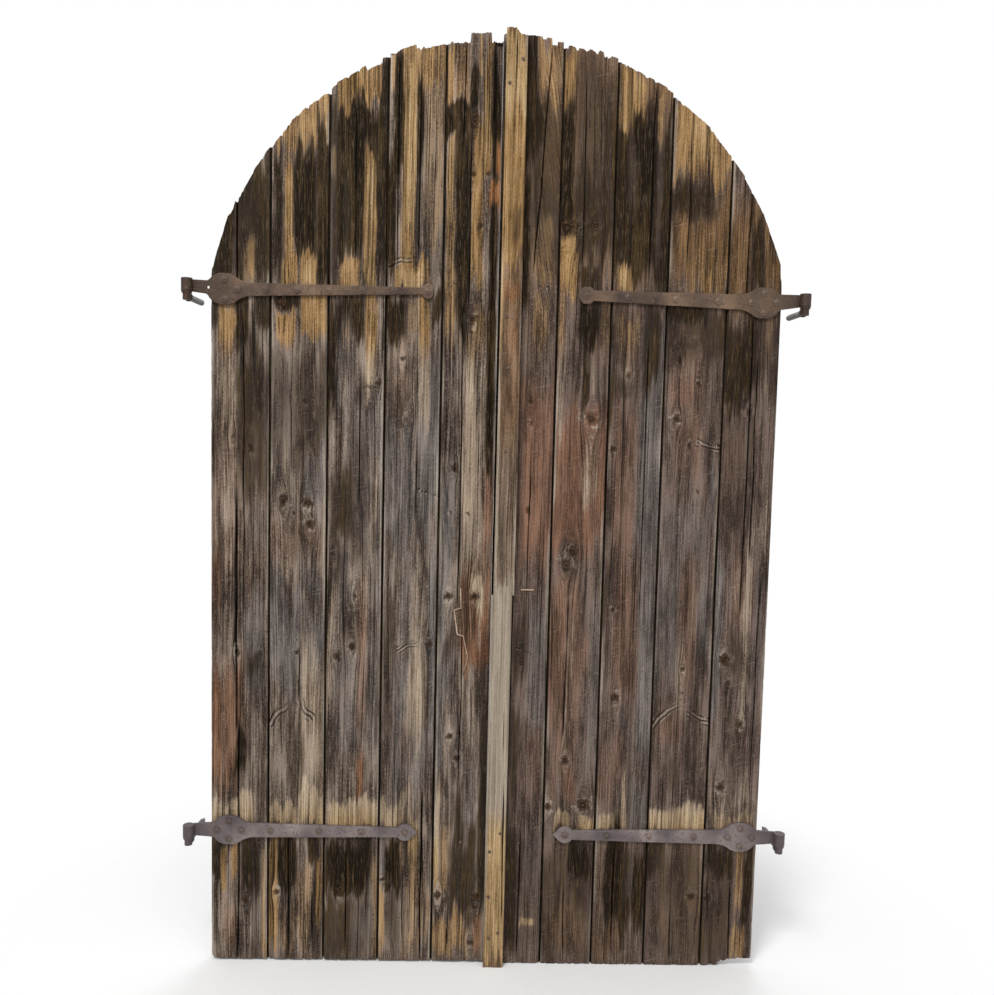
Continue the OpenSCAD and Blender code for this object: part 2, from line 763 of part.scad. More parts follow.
strap_nails_group(LOWER_RIGHT);  // right_lower_strap_nails
board_nails_group(LEFT);  // left_board_nails
board_nails_group(RIGHT);  // right_board_nails
cover_strip();
cover_strip_nails();
latch_wire();
staple();
pintle(UPPER_LEFT);  // left_upper_pintle
pintle(UPPER_RIGHT);  // right_upper_pintle
pintle(LOWER_LEFT);  // left_lower_pintle
pintle(LOWER_RIGHT);  // right_lower_pintle
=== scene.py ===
"""Old arched double door: weathered boards, cover strip, forged strap hinges and pintles."""

import json
import math

import bmesh
import bpy
import numpy as np
from mathutils import Matrix, Vector


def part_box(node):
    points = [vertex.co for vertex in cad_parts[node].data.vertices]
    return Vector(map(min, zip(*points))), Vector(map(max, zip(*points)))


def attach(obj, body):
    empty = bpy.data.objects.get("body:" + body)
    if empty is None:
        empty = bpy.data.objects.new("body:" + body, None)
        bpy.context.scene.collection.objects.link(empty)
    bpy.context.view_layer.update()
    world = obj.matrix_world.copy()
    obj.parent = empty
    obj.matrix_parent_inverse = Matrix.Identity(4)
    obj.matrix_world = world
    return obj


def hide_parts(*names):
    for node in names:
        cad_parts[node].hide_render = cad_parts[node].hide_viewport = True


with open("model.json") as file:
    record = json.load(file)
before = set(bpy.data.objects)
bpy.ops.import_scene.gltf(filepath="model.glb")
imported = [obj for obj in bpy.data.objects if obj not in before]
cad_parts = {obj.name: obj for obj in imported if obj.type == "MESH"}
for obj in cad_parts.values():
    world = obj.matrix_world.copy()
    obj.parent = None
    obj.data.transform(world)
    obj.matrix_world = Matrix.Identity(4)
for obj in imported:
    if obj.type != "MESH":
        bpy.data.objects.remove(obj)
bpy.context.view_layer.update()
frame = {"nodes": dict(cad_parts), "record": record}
NODE_BODY = {n: body for body, members in frame["record"]["behaviour"]["bodies"].items() for n in members}
MM = 0.001

# Front of the boards, their chamfers, tongues and grooves, in millimetres in the frame of the part
FRONT_Y = -42.9375
ARRIS = 2.5
TONGUE_FRONT = 9.5
TONGUE_BACK = 18.5
TONGUE_OUT = 9.5
GROOVE_IN = 10.5

# Places across a plank on unit sides that mark the vertices of its tongue and of its groove
TONGUE_MARK = 2.0
GROOVE_MARK = 3.0

# Lost upper edge and rotted channel of the last left board
LOST_W = 17.0
LOST_Z = 1970.0
LOST_D = 14.0
CHANNEL_W = 14.0
CHANNEL_D = 7.0
CHANNEL_Z = 1190.0

# The boards at the meeting line have no tongue; their edges are planed back and all but touch
MEETING_BOARDS = ("left_board_5", "right_board_5")
PLANED_BACK = 0.045
CLOSED_UP = 0.2
EDGE_WEAR = 0.7

# Mesh spacing of a board's face, and the depth of its rounded front edge
COLUMN_MM = 1.5
ROW_MM = 7.2
EDGE_DEPTH = 1.6

# Depths of wear on a board's face, in millimetres
FACE_LOSS = 0.35
RIDGES = 0.6
FURROWS = 1.3
BARE_STREAKS = 0.5
CUPPING = 1.5
KNOT_RINGS = 0.9
KNOT_CORES = 1.2
SCAR_RIPPLES = 3.0
CHIPPED_EDGES = 2.2
WORN_HEAD = 2.4
WORN_FOOT = 1.2

# Painted shade, with soot, on the board sides in the joints; soot on the edges and back that the weather
# doesn't wash
JOINT_SHADE_AND_SOOT = 0.95
BACK_SOOT = 0.12

# Camera of the photo, found from the door's edges, seams and hinges: degrees, millimetres and pixels
CAMERA_YAW, CAMERA_PITCH, CAMERA_ROLL = -1.104, -4.406, 1.345
CAMERA_AT = (-31.6, FRONT_Y - 2076.3, 1286.4)
CAMERA_FOCUS = 900
PHOTO_LONG_SIDE = 995
SENSOR = 36.0


def srgb(hex_colour):
    """Linear RGBA of an sRGB hex colour."""
    parts = [int(hex_colour[i:i + 2], 16) / 255 for i in (1, 3, 5)]
    return [c / 12.92 if c <= 0.04045 else ((c + 0.055) / 1.055) ** 2.4 for c in parts] + [1.0]


def node(tree, kind, inputs=None, stops=None, **settings):
    """Adds a node with its settings; an input is a value or the socket that feeds it."""
    made = tree.nodes.new(kind)
    for name, value in settings.items():
        setattr(made, name, value)
    for socket, value in (inputs or {}).items():
        if isinstance(value, bpy.types.NodeSocket):
            tree.links.new(value, made.inputs[socket])
        else:
            made.inputs[socket].default_value = value
    if stops:
        points = made.color_ramp.elements
        while len(points) < len(stops):
            points.new(1.0)
        for point, (place, colour) in zip(points, stops):
            point.position = place
            point.color = srgb(colour)
    return made


def maths(tree, operation, *values):
    """Result of one step of arithmetic."""
    return node(tree, "ShaderNodeMath", dict(enumerate(values)), operation=operation).outputs[0]


def ranged(tree, value, start, full, low, high, **settings):
    """Low where the value is at start, high where it is at full, and between them in between."""
    ends = dict(enumerate((value, start, full, low, high)))
    return node(tree, "ShaderNodeMapRange", ends, **settings).outputs[0]


def toned(tree, value, stops):
    """Colour that goes from stop to stop with the value."""
    return node(tree, "ShaderNodeValToRGB", {0: value}, stops=stops).outputs[0]


def coated(tree, colour, amount, paint):
    """Colour with an amount of paint over it."""
    return node(tree, "ShaderNodeMix", {0: amount, 6: colour, 7: paint}, data_type="RGBA").outputs[2]


def new_material(name):
    """An empty node material."""
    material = bpy.data.materials.new(name)
    material.use_nodes = True
    material.node_tree.nodes.clear()
    return material, material.node_tree


# Streaky noise in numpy: a smooth lattice, repeated at three sizes
def lattice(seed, across, along):
    """Smooth noise from 0 to 1 on a lattice of unit cells."""
    cells = 256
    table = np.random.default_rng(seed).random((cells, cells))
    col, row = np.floor(across).astype(int), np.floor(along).astype(int)
    u, v = across - col, along - row
    u, v = u * u * (3 - 2 * u), v * v * (3 - 2 * v)
    c0, c1, r0, r1 = col % cells, (col + 1) % cells, row % cells, (row + 1) % cells
    near = table[c0, r0] * (1 - u) + table[c1, r0] * u
    far = table[c0, r1] * (1 - u) + table[c1, r1] * u
    return near * (1 - v) + far * v


def streaks(seed, across, along, width, length):
    """Layered noise stretched along the grain, around 0.5."""
    total = np.zeros(np.broadcast(across, along).shape)
    for octave, share in enumerate((0.55, 0.28, 0.17)):
        step = 2.03 ** octave
        total = total + share * lattice(seed + octave, across * step / width, along * step / length)
    return total


def smooth(value, low, high):
    """0 below low, 1 above high, and a soft rise between."""
    t = np.clip((value - low) / (high - low), 0, 1)
    return t * t * (3 - 2 * t)


# Stains of each board: kind, left and right (shares of its width), foot and head (mm) and strength.
# They are laid in this order, and each covers what lies under it. Soot and shade is black: soot, and in the
# strokes noted below painted shade; tan and cream are bare wood, cream once a painted highlight; silver is
# grey weathering and rust is red-brown.
STAINS = {
    "left_board_1": [
        ("tan", 0, 1, 1600, 1900, 0.35), ("soot_and_shade", 0.05, 0.42, 1655, 1830, 0.85),
        ("soot_and_shade", 0, 0.4, 1600, 1700, 0.6), ("soot_and_shade", 0.4, 1, 1600, 1900, 0.5),
        ("tan", 0.55, 0.75, 1595, 1690, 0.55), ("soot_and_shade", 0.3, 0.55, 1600, 1800, 0.4),
        ("soot_and_shade", 0.4, 0.65, 1470, 1590, 0.7), ("soot_and_shade", 0.75, 1, 1500, 1580, 0.5),
        ("soot_and_shade", 0, 0.14, 1490, 1590, 0.5), ("soot_and_shade", 0.42, 0.98, 1120, 1475, 0.6),
        ("tan", 0.14, 0.4, 1260, 1545, 0.85), ("rust", 0.14, 0.4, 1260, 1545, 0.4),
        ("tan", 0.2, 0.35, 1000, 1240, 0.4), ("silver", 0.6, 1, 980, 1120, 0.4),
        ("rust", 0.3, 0.6, 960, 1100, 0.3), ("rust", 0, 0.2, 820, 1000, 0.45),
        ("tan", 0.2, 0.42, 780, 1000, 0.35), ("silver", 0.55, 0.95, 640, 900, 0.5),
        ("soot_and_shade", 0.6, 0.88, 690, 750, 0.55), ("rust", 0, 0.2, 400, 700, 0.8),
        ("rust", 0.2, 0.6, 430, 740, 0.65), ("soot_and_shade", 0.42, 0.62, 450, 545, 0.95),
        ("cream", 0, 0.35, 335, 392, 0.65), ("cream", 0.38, 0.75, 335, 402, 0.85),
        ("soot_and_shade", 0, 0.2, 200, 300, 0.6), ("soot_and_shade", 0.52, 0.85, 170, 300, 0.55),
        ("tan", 0.17, 0.28, 165, 290, 0.65), ("tan", 0.36, 0.48, 185, 290, 0.65),
        ("tan", 0.9, 1, 20, 290, 0.5), ("rust", 0.2, 0.45, 20, 150, 0.3), ("rust", 0, 1, 900, 1300, 0.25),
    ],
    "left_board_2": [
        ("tan", 0, 1, 1905, 2060, 0.6), ("soot_and_shade", 0.05, 0.2, 1600, 1900, 0.6),
        ("soot_and_shade", 0.4, 0.78, 1650, 1905, 0.9), ("soot_and_shade", 0.8, 1, 1600, 1950, 0.75),
        ("tan", 0.24, 0.38, 1620, 1900, 0.75), ("tan", 0.18, 0.45, 1595, 1660, 0.9),
        ("tan", 0.52, 0.8, 1595, 1670, 0.95), ("cream", 0.55, 0.75, 1595, 1645, 0.5),
        ("soot_and_shade", 0.05, 0.5, 1545, 1590, 0.75), ("tan", 0.1, 0.4, 1468, 1540, 0.85),
        ("rust", 0.1, 0.42, 1460, 1540, 0.55), ("tan", 0.52, 0.98, 1480, 1588, 0.8),
        ("soot_and_shade", 0, 1, 1180, 1460, 0.45), ("silver", 0, 0.5, 1150, 1450, 0.25),
        ("tan", 0.75, 0.82, 1300, 1450, 0.5), ("tan", 0.2, 0.34, 1130, 1300, 0.35),
        ("silver", 0.6, 1, 1100, 1250, 0.5), ("rust", 0, 1, 950, 1080, 0.28),
        ("tan", 0.2, 0.4, 900, 1010, 0.4), ("silver", 0.5, 0.95, 880, 1000, 0.45),
        ("silver", 0, 0.3, 760, 950, 0.5), ("tan", 0.5, 0.85, 650, 900, 0.35),
        ("soot_and_shade", 0.41, 0.55, 630, 750, 0.35), ("tan", 0, 0.3, 600, 680, 0.4),
        ("tan", 0.6, 0.95, 600, 690, 0.5), ("soot_and_shade", 0.3, 0.6, 400, 560, 0.3),
        ("cream", 0.55, 1, 335, 428, 1), ("cream", 0, 0.55, 335, 384, 0.75),
        ("soot_and_shade", 0.15, 0.52, 170, 305, 0.8), ("soot_and_shade", 0.72, 0.92, 225, 305, 0.65),
        ("tan", 0, 0.16, 20, 290, 0.8), ("rust", 0, 0.16, 20, 150, 0.35),
        ("tan", 0.83, 0.98, 80, 280, 0.75), ("tan", 0.5, 0.8, 30, 220, 0.35),
        ("soot_and_shade", 0.77, 0.84, 60, 150, 0.5), ("tan", 0.18, 0.5, 15, 150, 0.4),
        ("cream", 0.5, 1, 430, 720, 0.35), ("silver", 0, 1, 640, 880, 0.6),
        ("cream", 0.55, 1, 560, 760, 0.3),
    ],
    "left_board_3": [
        ("soot_and_shade", 0.1, 0.95, 1690, 2010, 0.8), ("soot_and_shade", 0.85, 1, 1610, 2080, 0.65),
        ("soot_and_shade", 0, 0.12, 1600, 2050, 0.45), ("tan", 0.12, 0.52, 1975, 2150, 0.95),
        ("tan", 0.5, 0.7, 2005, 2150, 0.95), ("tan", 0.7, 0.9, 2035, 2150, 0.9),
        ("rust", 0.15, 0.9, 2040, 2150, 0.2), ("tan", 0, 0.1, 1860, 1925, 0.5),
        ("silver", 0.22, 0.4, 1690, 1900, 0.4), ("tan", 0.6, 0.82, 1600, 1910, 1),
        ("cream", 0.64, 0.78, 1620, 1880, 0.5), ("cream", 0.65, 0.78, 1598, 1690, 0.45),
        ("tan", 0.15, 0.55, 1598, 1672, 0.65), ("soot_and_shade", 0, 0.13, 1350, 1580, 0.65),
        ("soot_and_shade", 0.1, 0.62, 1480, 1590, 0.65), ("silver", 0.15, 0.42, 1320, 1545, 0.6),
        ("tan", 0.2, 0.4, 1330, 1530, 0.4), ("tan", 0.64, 0.86, 1378, 1590, 0.9),
        ("cream", 0.66, 0.84, 1385, 1480, 0.5), ("silver", 0.3, 1, 1000, 1370, 0.45),
        ("tan", 0.75, 0.9, 990, 1200, 0.5), ("soot_and_shade", 0.05, 0.5, 990, 1180, 0.6),
        ("soot_and_shade", 0.35, 0.75, 940, 1320, 0.35), ("tan", 0, 0.13, 560, 1000, 0.5),
        ("soot_and_shade", 0.14, 0.4, 885, 1010, 0.5), ("silver", 0.2, 0.45, 790, 1000, 0.35),
        ("silver", 0.8, 0.98, 875, 1020, 0.85), ("cream", 0.82, 0.95, 880, 1010, 0.3),
        ("rust", 0.55, 0.75, 560, 930, 0.45), ("tan", 0.6, 0.75, 850, 960, 0.4),
        ("soot_and_shade", 0.1, 0.5, 560, 760, 0.3), ("silver", 0.78, 0.98, 500, 850, 0.4),
        ("rust", 0.56, 0.72, 385, 515, 0.95), ("cream", 0.04, 0.98, 335, 402, 1),
        ("soot_and_shade", 0.04, 0.88, 185, 310, 0.78), ("tan", 0.1, 0.5, 20, 170, 0.35),
        ("tan", 0.9, 1, 20, 300, 0.45), ("soot_and_shade", 0, 0.9, 10, 190, 0.4), ("silver", 0.5, 0.9, 20, 160, 0.35),
        ("silver", 0.1, 0.95, 520, 760, 0.4),
    ],
    "left_board_4": [
        ("tan", 0, 1, 2040, 2176, 0.6), ("soot_and_shade", 0.62, 1, 1600, 2000, 0.3),
        ("silver", 0.6, 1, 1600, 2100, 0.25), ("tan", 0.62, 1, 1700, 2120, 0.35),
        ("tan", 0.25, 0.5, 1650, 2120, 0.8), ("cream", 0.3, 0.5, 1750, 2110, 0.45),
        ("silver", 0.25, 0.5, 1640, 2000, 0.4), ("soot_and_shade", 0.1, 0.25, 1880, 2110, 0.95),
        ("soot_and_shade", 0, 0.13, 1660, 1890, 0.75), ("soot_and_shade", 0.52, 0.62, 1860, 2075, 0.9),
        ("soot_and_shade", 0.5, 0.6, 1700, 1860, 0.45), ("tan", 0.12, 0.78, 1598, 1662, 0.75),
        ("cream", 0.2, 0.7, 1598, 1645, 0.45), ("soot_and_shade", 0, 0.35, 1480, 1590, 0.65),
        ("soot_and_shade", 0.8, 1, 1520, 1590, 0.5), ("tan", 0.35, 0.8, 1490, 1585, 0.35),
        ("tan", 0.6, 0.78, 1290, 1560, 0.75), ("rust", 0.1, 0.5, 1320, 1500, 0.25),
        ("silver", 0.78, 1, 1090, 1450, 0.65), ("silver", 0, 0.6, 990, 1280, 0.5),
        ("silver", 0.6, 0.9, 1010, 1280, 0.6), ("soot_and_shade", 0, 0.25, 560, 900, 0.4),
        ("silver", 0.3, 0.6, 770, 1000, 0.4), ("tan", 0.5, 0.8, 640, 930, 0.35),
        ("silver", 0.85, 1, 480, 1000, 0.65), ("rust", 0.35, 0.6, 460, 600, 0.4),
        ("tan", 0.35, 0.75, 480, 700, 0.35), ("cream", 0, 0.45, 335, 398, 0.6),
        ("tan", 0.35, 0.62, 335, 425, 0.65), ("silver", 0, 0.12, 200, 320, 0.55),
        ("soot_and_shade", 0.12, 0.4, 185, 312, 0.85), ("tan", 0.38, 0.45, 225, 308, 0.45),
        ("cream", 0.55, 0.74, 270, 362, 0.6), ("tan", 0.5, 0.78, 120, 300, 0.45),
        ("tan", 0.4, 1, 15, 180, 0.35), ("soot_and_shade", 0.1, 0.4, 30, 190, 0.3), ("tan", 0, 0.12, 20, 180, 0.5),
        ("silver", 0.2, 0.85, 430, 760, 0.6), ("cream", 0.5, 0.85, 560, 760, 0.45),
    ],
    "left_board_5": [
        ("tan", 0, 0.12, 2000, 2150, 0.65), ("tan", 0.15, 0.4, 2000, 2150, 0.45),
        ("rust", 0.15, 0.4, 2000, 2150, 0.3), ("soot_and_shade", 0, 0.42, 1945, 2010, 0.92),
        ("soot_and_shade", 0.42, 0.56, 1985, 2090, 0.9), ("tan", 0.56, 0.66, 2050, 2170, 0.5),
        ("tan", 0.68, 0.82, 1860, 2165, 0.85), ("cream", 0.7, 0.8, 1900, 2100, 0.35),
        ("soot_and_shade", 0.18, 0.45, 1500, 1950, 0.75), ("tan", 0.03, 0.18, 1470, 1940, 0.6),
        ("tan", 0.48, 0.7, 1590, 1960, 0.8), ("rust", 0.48, 0.7, 1650, 1870, 0.4),
        # The first soot here darkens the rotted channel along the meeting edge: dark wood with painted shade
        # in the recess
        ("soot_and_shade", 0.82, 0.97, 1180, 2080, 0.85), ("rust", 0.88, 1, 1840, 1930, 0.85),
        ("rust", 0.78, 1, 1780, 1836, 1), ("soot_and_shade", 0.2, 0.32, 1440, 1590, 0.4),
        ("tan", 0.14, 0.25, 1390, 1590, 0.5), ("tan", 0.55, 0.78, 990, 1560, 0.5),
        ("silver", 0.6, 0.78, 1000, 1400, 0.35), ("silver", 0, 0.3, 940, 1190, 0.6),
        ("rust", 0.8, 1, 1000, 1200, 0.6), ("silver", 0.3, 0.6, 940, 1100, 0.35),
        ("silver", 0, 0.12, 480, 1000, 0.75), ("rust", 0.4, 0.97, 745, 975, 0.9),
        ("soot_and_shade", 0.08, 0.38, 735, 805, 0.45), ("silver", 0.05, 0.35, 640, 745, 0.6),
        ("cream", 0.62, 0.84, 905, 950, 0.75), ("cream", 0.74, 0.86, 865, 930, 0.8),
        ("rust", 0.6, 1, 735, 782, 1), ("tan", 0.44, 0.5, 790, 900, 0.5), ("tan", 0.6, 0.65, 785, 880, 0.5),
        ("tan", 0.76, 0.82, 780, 870, 0.5), ("soot_and_shade", 0.52, 0.58, 790, 880, 0.6),
        ("soot_and_shade", 0.67, 0.73, 800, 870, 0.6), ("silver", 0.2, 0.6, 440, 640, 0.35),
        ("soot_and_shade", 0.84, 1, 430, 650, 0.65), ("cream", 0, 0.1, 220, 470, 0.65),
        ("tan", 0.1, 0.35, 190, 470, 0.45), ("soot_and_shade", 0.4, 0.6, 200, 400, 0.45),
        ("silver", 0.55, 0.85, 170, 470, 0.4), ("soot_and_shade", 0.85, 1, 125, 480, 0.65),
        ("soot_and_shade", 0.3, 0.85, 100, 330, 0.45), ("tan", 0, 0.7, 15, 120, 0.5), ("rust", 0.8, 1, 25, 130, 0.55),
        ("tan", 0.3, 0.8, 960, 1480, 0.65), ("tan", 0, 0.3, 1180, 1480, 0.35),
        ("cream", 0.45, 0.62, 1050, 1480, 0.35), ("tan", 0.1, 0.8, 480, 720, 0.3),
        ("silver", 0.05, 0.8, 980, 1440, 0.3),
    ],
    "right_board_5": [
        # Soot strokes from about 0.36 across run along the cover strip's right edge: dark staining with the
        # strip's shadow painted in
        ("rust", 0, 1, 1600, 2160, 0.55), ("soot_and_shade", 0.36, 0.56, 1890, 2165, 0.95),
        ("tan", 0.56, 1, 2000, 2165, 0.4), ("soot_and_shade", 0.53, 0.8, 1890, 2010, 0.7),
        ("tan", 0.66, 0.96, 1800, 1990, 0.5), ("soot_and_shade", 0.5, 1, 1660, 2000, 0.35),
        ("soot_and_shade", 0.36, 0.52, 1600, 1840, 0.75), ("soot_and_shade", 0.5, 1, 1640, 1800, 0.4),
        ("tan", 0.55, 0.92, 1595, 1750, 0.4), ("rust", 0.45, 0.8, 1300, 1590, 0.35),
        ("tan", 0.6, 0.9, 1440, 1590, 0.4), ("rust", 0.42, 0.58, 1340, 1420, 0.7),
        ("silver", 0.8, 1, 1090, 1400, 0.35), ("soot_and_shade", 0.36, 0.58, 990, 1260, 0.4),
        ("rust", 0.45, 1, 980, 1400, 0.75), ("soot_and_shade", 0.4, 0.66, 690, 900, 0.5),
        ("silver", 0.65, 1, 590, 890, 0.5), ("soot_and_shade", 0.36, 0.56, 330, 640, 0.45),
        ("rust", 0.6, 1, 420, 600, 0.3), ("silver", 0.7, 0.95, 588, 612, 0.6),
        ("soot_and_shade", 0.36, 0.56, 15, 330, 0.5), ("silver", 0.65, 0.98, 160, 330, 0.35),
        ("soot_and_shade", 0.36, 1, 5, 320, 0.22), ("cream", 0.6, 0.9, 94, 114, 0.45),
        # Painted shade, with dirt, on the narrow face of board left of the cover strip
        ("soot_and_shade", 0, 0.05, 1180, 2176, 1),
    ],
    "right_board_4": [
        ("rust", 0, 1, 1600, 2160, 0.6), ("tan", 0, 0.22, 2010, 2135, 0.75),
        ("rust", 0, 0.22, 2010, 2135, 0.6), ("soot_and_shade", 0, 0.22, 1720, 2020, 0.85),
        ("silver", 0.3, 0.7, 1850, 2110, 0.35), ("rust", 0.2, 0.9, 1800, 2110, 0.3),
        ("soot_and_shade", 0.2, 1, 1680, 2120, 0.32), ("soot_and_shade", 0.2, 1, 1680, 1890, 0.45),
        ("soot_and_shade", 0.75, 1, 1650, 2050, 0.45), ("soot_and_shade", 0.4, 0.78, 1598, 1660, 0.5),
        ("tan", 0, 0.35, 1598, 1722, 0.8), ("rust", 0, 0.35, 1620, 1710, 0.3),
        ("soot_and_shade", 0.4, 0.8, 1490, 1592, 0.78), ("rust", 0.8, 1, 1440, 1575, 0.5),
        ("tan", 0, 0.15, 1290, 1600, 0.45), ("soot_and_shade", 0.5, 0.65, 1340, 1490, 0.5),
        ("tan", 0.7, 0.78, 1370, 1490, 0.45), ("rust", 0, 1, 990, 1330, 0.85),
        ("tan", 0.5, 0.86, 1110, 1270, 0.5), ("silver", 0.75, 1, 990, 1090, 0.5),
        ("soot_and_shade", 0.25, 0.52, 925, 968, 0.5), ("rust", 0, 0.62, 590, 930, 0.55),
        ("tan", 0.28, 0.52, 490, 860, 0.4), ("rust", 0.5, 0.8, 690, 810, 0.45),
        ("silver", 0.8, 1, 490, 900, 0.4), ("rust", 0.08, 0.6, 420, 640, 0.45),
        ("rust", 0.33, 0.62, 395, 480, 0.6), ("cream", 0.2, 0.52, 338, 376, 0.8),
        ("cream", 0.68, 1, 335, 374, 0.85), ("soot_and_shade", 0.45, 0.92, 215, 318, 0.72),
        ("tan", 0.42, 0.5, 245, 318, 0.45), ("rust", 0, 0.5, 110, 320, 0.35),
        ("soot_and_shade", 0.5, 0.92, 100, 230, 0.4), ("soot_and_shade", 0, 1, 5, 320, 0.3), ("rust", 0.05, 0.9, 15, 150, 0.45),
    ],
    "right_board_3": [
        ("rust", 0, 1, 1600, 2160, 0.6), ("soot_and_shade", 0, 1, 1630, 1965, 0.62),
        ("tan", 0, 0.48, 1955, 2100, 0.8), ("soot_and_shade", 0.3, 0.75, 1790, 2020, 0.95),
        ("silver", 0.2, 0.42, 1780, 1930, 0.3), ("rust", 0.2, 0.42, 1780, 1930, 0.3),
        ("tan", 0.72, 0.86, 1930, 2040, 0.45), ("silver", 0.74, 0.86, 1690, 1960, 0.45),
        ("soot_and_shade", 0.85, 1, 1600, 1990, 0.55), ("tan", 0.05, 0.36, 1598, 1662, 0.8),
        ("cream", 0.08, 0.3, 1598, 1650, 0.4), ("soot_and_shade", 0, 0.1, 1290, 1585, 0.45),
        ("soot_and_shade", 0, 1, 1400, 1590, 0.3), ("rust", 0.08, 0.6, 1420, 1565, 0.4),
        ("tan", 0.1, 0.55, 1440, 1545, 0.35), ("soot_and_shade", 0.05, 0.5, 1365, 1412, 0.4),
        ("silver", 0.56, 1, 990, 1560, 0.6), ("soot_and_shade", 0.6, 0.95, 1390, 1585, 0.5),
        ("rust", 0.1, 0.55, 990, 1370, 0.45), ("soot_and_shade", 0, 0.15, 840, 1000, 0.45),
        ("rust", 0.2, 0.68, 590, 1000, 0.45), ("silver", 0.7, 1, 550, 1000, 0.6),
        ("silver", 0.3, 0.9, 550, 680, 0.4), ("rust", 0, 0.5, 390, 560, 0.35),
        ("silver", 0.6, 1, 345, 490, 0.5), ("cream", 0.48, 0.56, 338, 475, 0.65),
        ("cream", 0, 0.56, 335, 374, 0.65), ("soot_and_shade", 0.2, 0.72, 100, 318, 0.78),
        ("silver", 0.55, 0.74, 150, 312, 0.5), ("soot_and_shade", 0.75, 1, 115, 320, 0.65),
        ("rust", 0, 0.2, 100, 320, 0.3), ("rust", 0, 0.62, 15, 112, 0.45),
    ],
    "right_board_2": [
        ("tan", 0, 1, 1860, 2040, 0.8), ("cream", 0.3, 0.8, 1900, 2020, 0.25),
        ("soot_and_shade", 0.3, 0.62, 1690, 1880, 0.4), ("rust", 0, 1, 1620, 1850, 0.75),
        ("tan", 0.3, 1, 1600, 1700, 0.3), ("soot_and_shade", 0, 0.75, 1765, 1850, 0.5),
        ("tan", 0.55, 0.76, 1598, 1652, 0.7), ("soot_and_shade", 0, 1, 1440, 1590, 0.42),
        ("soot_and_shade", 0, 0.72, 1525, 1585, 0.65), ("rust", 0.08, 0.72, 1330, 1525, 0.42),
        ("rust", 0.1, 0.56, 1330, 1420, 0.5), ("soot_and_shade", 0.05, 0.6, 1470, 1500, 0.35),
        ("rust", 0.2, 0.7, 1180, 1330, 0.4), ("silver", 0, 0.9, 990, 1120, 0.4),
        ("silver", 0.84, 0.95, 1040, 1185, 0.6), ("silver", 0, 0.4, 690, 1000, 0.45),
        ("rust", 0.4, 0.72, 690, 1000, 0.4), ("silver", 0.7, 0.95, 740, 950, 0.45),
        ("tan", 0.38, 0.5, 610, 850, 0.45), ("rust", 0.08, 0.52, 550, 645, 0.4),
        ("soot_and_shade", 0.3, 0.52, 425, 525, 0.35), ("cream", 0, 0.4, 338, 386, 0.85),
        ("cream", 0.38, 1, 335, 398, 1), ("soot_and_shade", 0, 0.32, 215, 320, 0.5), ("rust", 0.2, 1, 25, 330, 0.4),
        ("tan", 0.95, 1, 150, 312, 0.6), ("soot_and_shade", 0, 1, 5, 320, 0.28), ("rust", 0.15, 0.9, 55, 150, 0.35),
    ],
    "right_board_1": [
        ("rust", 0, 1, 1600, 1850, 0.7), ("soot_and_shade", 0.4, 0.66, 1598, 1765, 0.55),
        ("soot_and_shade", 0, 0.62, 1340, 1575, 0.55), ("soot_and_shade", 0.5, 1, 1380, 1590, 0.35),
        ("tan", 0.7, 0.85, 1370, 1565, 0.35), ("rust", 0, 0.42, 1140, 1330, 0.35),
        ("soot_and_shade", 0.45, 0.62, 1150, 1350, 0.4), ("tan", 0.8, 1, 980, 1160, 0.4),
        ("tan", 0.5, 0.7, 980, 1100, 0.35), ("silver", 0, 0.16, 590, 1000, 0.6),
        ("rust", 0.3, 0.56, 790, 1000, 0.45), ("tan", 0.3, 0.56, 800, 980, 0.3),
        ("tan", 0.55, 0.7, 670, 1010, 0.6), ("soot_and_shade", 0.3, 0.6, 710, 800, 0.45),
        ("tan", 0.5, 0.66, 590, 760, 0.55), ("silver", 0.7, 1, 600, 950, 0.3),
        ("tan", 0.05, 0.92, 338, 442, 0.5), ("cream", 0.1, 0.92, 335, 384, 0.6),
        ("tan", 0.6, 0.76, 330, 480, 0.45), ("soot_and_shade", 0, 0.56, 225, 312, 0.55),
        ("soot_and_shade", 0.75, 0.96, 100, 300, 0.55), ("tan", 0.6, 0.75, 145, 312, 0.55),
        ("rust", 0.2, 0.5, 55, 145, 0.45), ("soot_and_shade", 0, 0.56, 5, 320, 0.32),
        ("soot_and_shade", 0, 0.7, 1000, 1350, 0.3), ("tan", 0.55, 0.86, 15, 105, 0.45),
        ("rust", 0.55, 0.86, 15, 105, 0.3),
    ],
    "cover_strip": [
        ("tan", 0, 1, 1660, 2176, 1), ("rust", 0, 1, 1900, 2176, 0.4), ("cream", 0, 1, 1990, 2176, 0.55),
        ("cream", 0, 1, 250, 905, 0.95), ("cream", 0, 1, 914, 922, 0.9),
        ("silver", 0.1, 1, 905, 1240, 0.35), ("rust", 0.2, 1, 1680, 1810, 0.45),
        ("soot_and_shade", 0.5, 0.9, 1700, 1790, 0.35), ("rust", 0.1, 1, 1575, 1625, 0.5),
        ("rust", 0.3, 1, 1280, 1560, 0.35), ("rust", 0.55, 1, 292, 322, 0.75),
        # The first cream here, from 0 to 0.2 across, is a painted highlight along the strip's left edge
        ("cream", 0, 0.2, 20, 1700, 0.75), ("soot_and_shade", 0.4, 0.9, 30, 75, 0.35),
        ("soot_and_shade", 0.66, 0.8, 180, 420, 0.4), ("cream", 0, 1, 0, 260, 0.65), ("tan", 0, 1, 0, 320, 0.6),
        ("silver", 0.5, 0.9, 320, 890, 0.35), ("rust", 0, 0.12, 560, 890, 0.4),
        # Painted shade along the right edge of the lower strip
        ("soot_and_shade", 0.86, 1, 420, 900, 0.3),
    ],
}

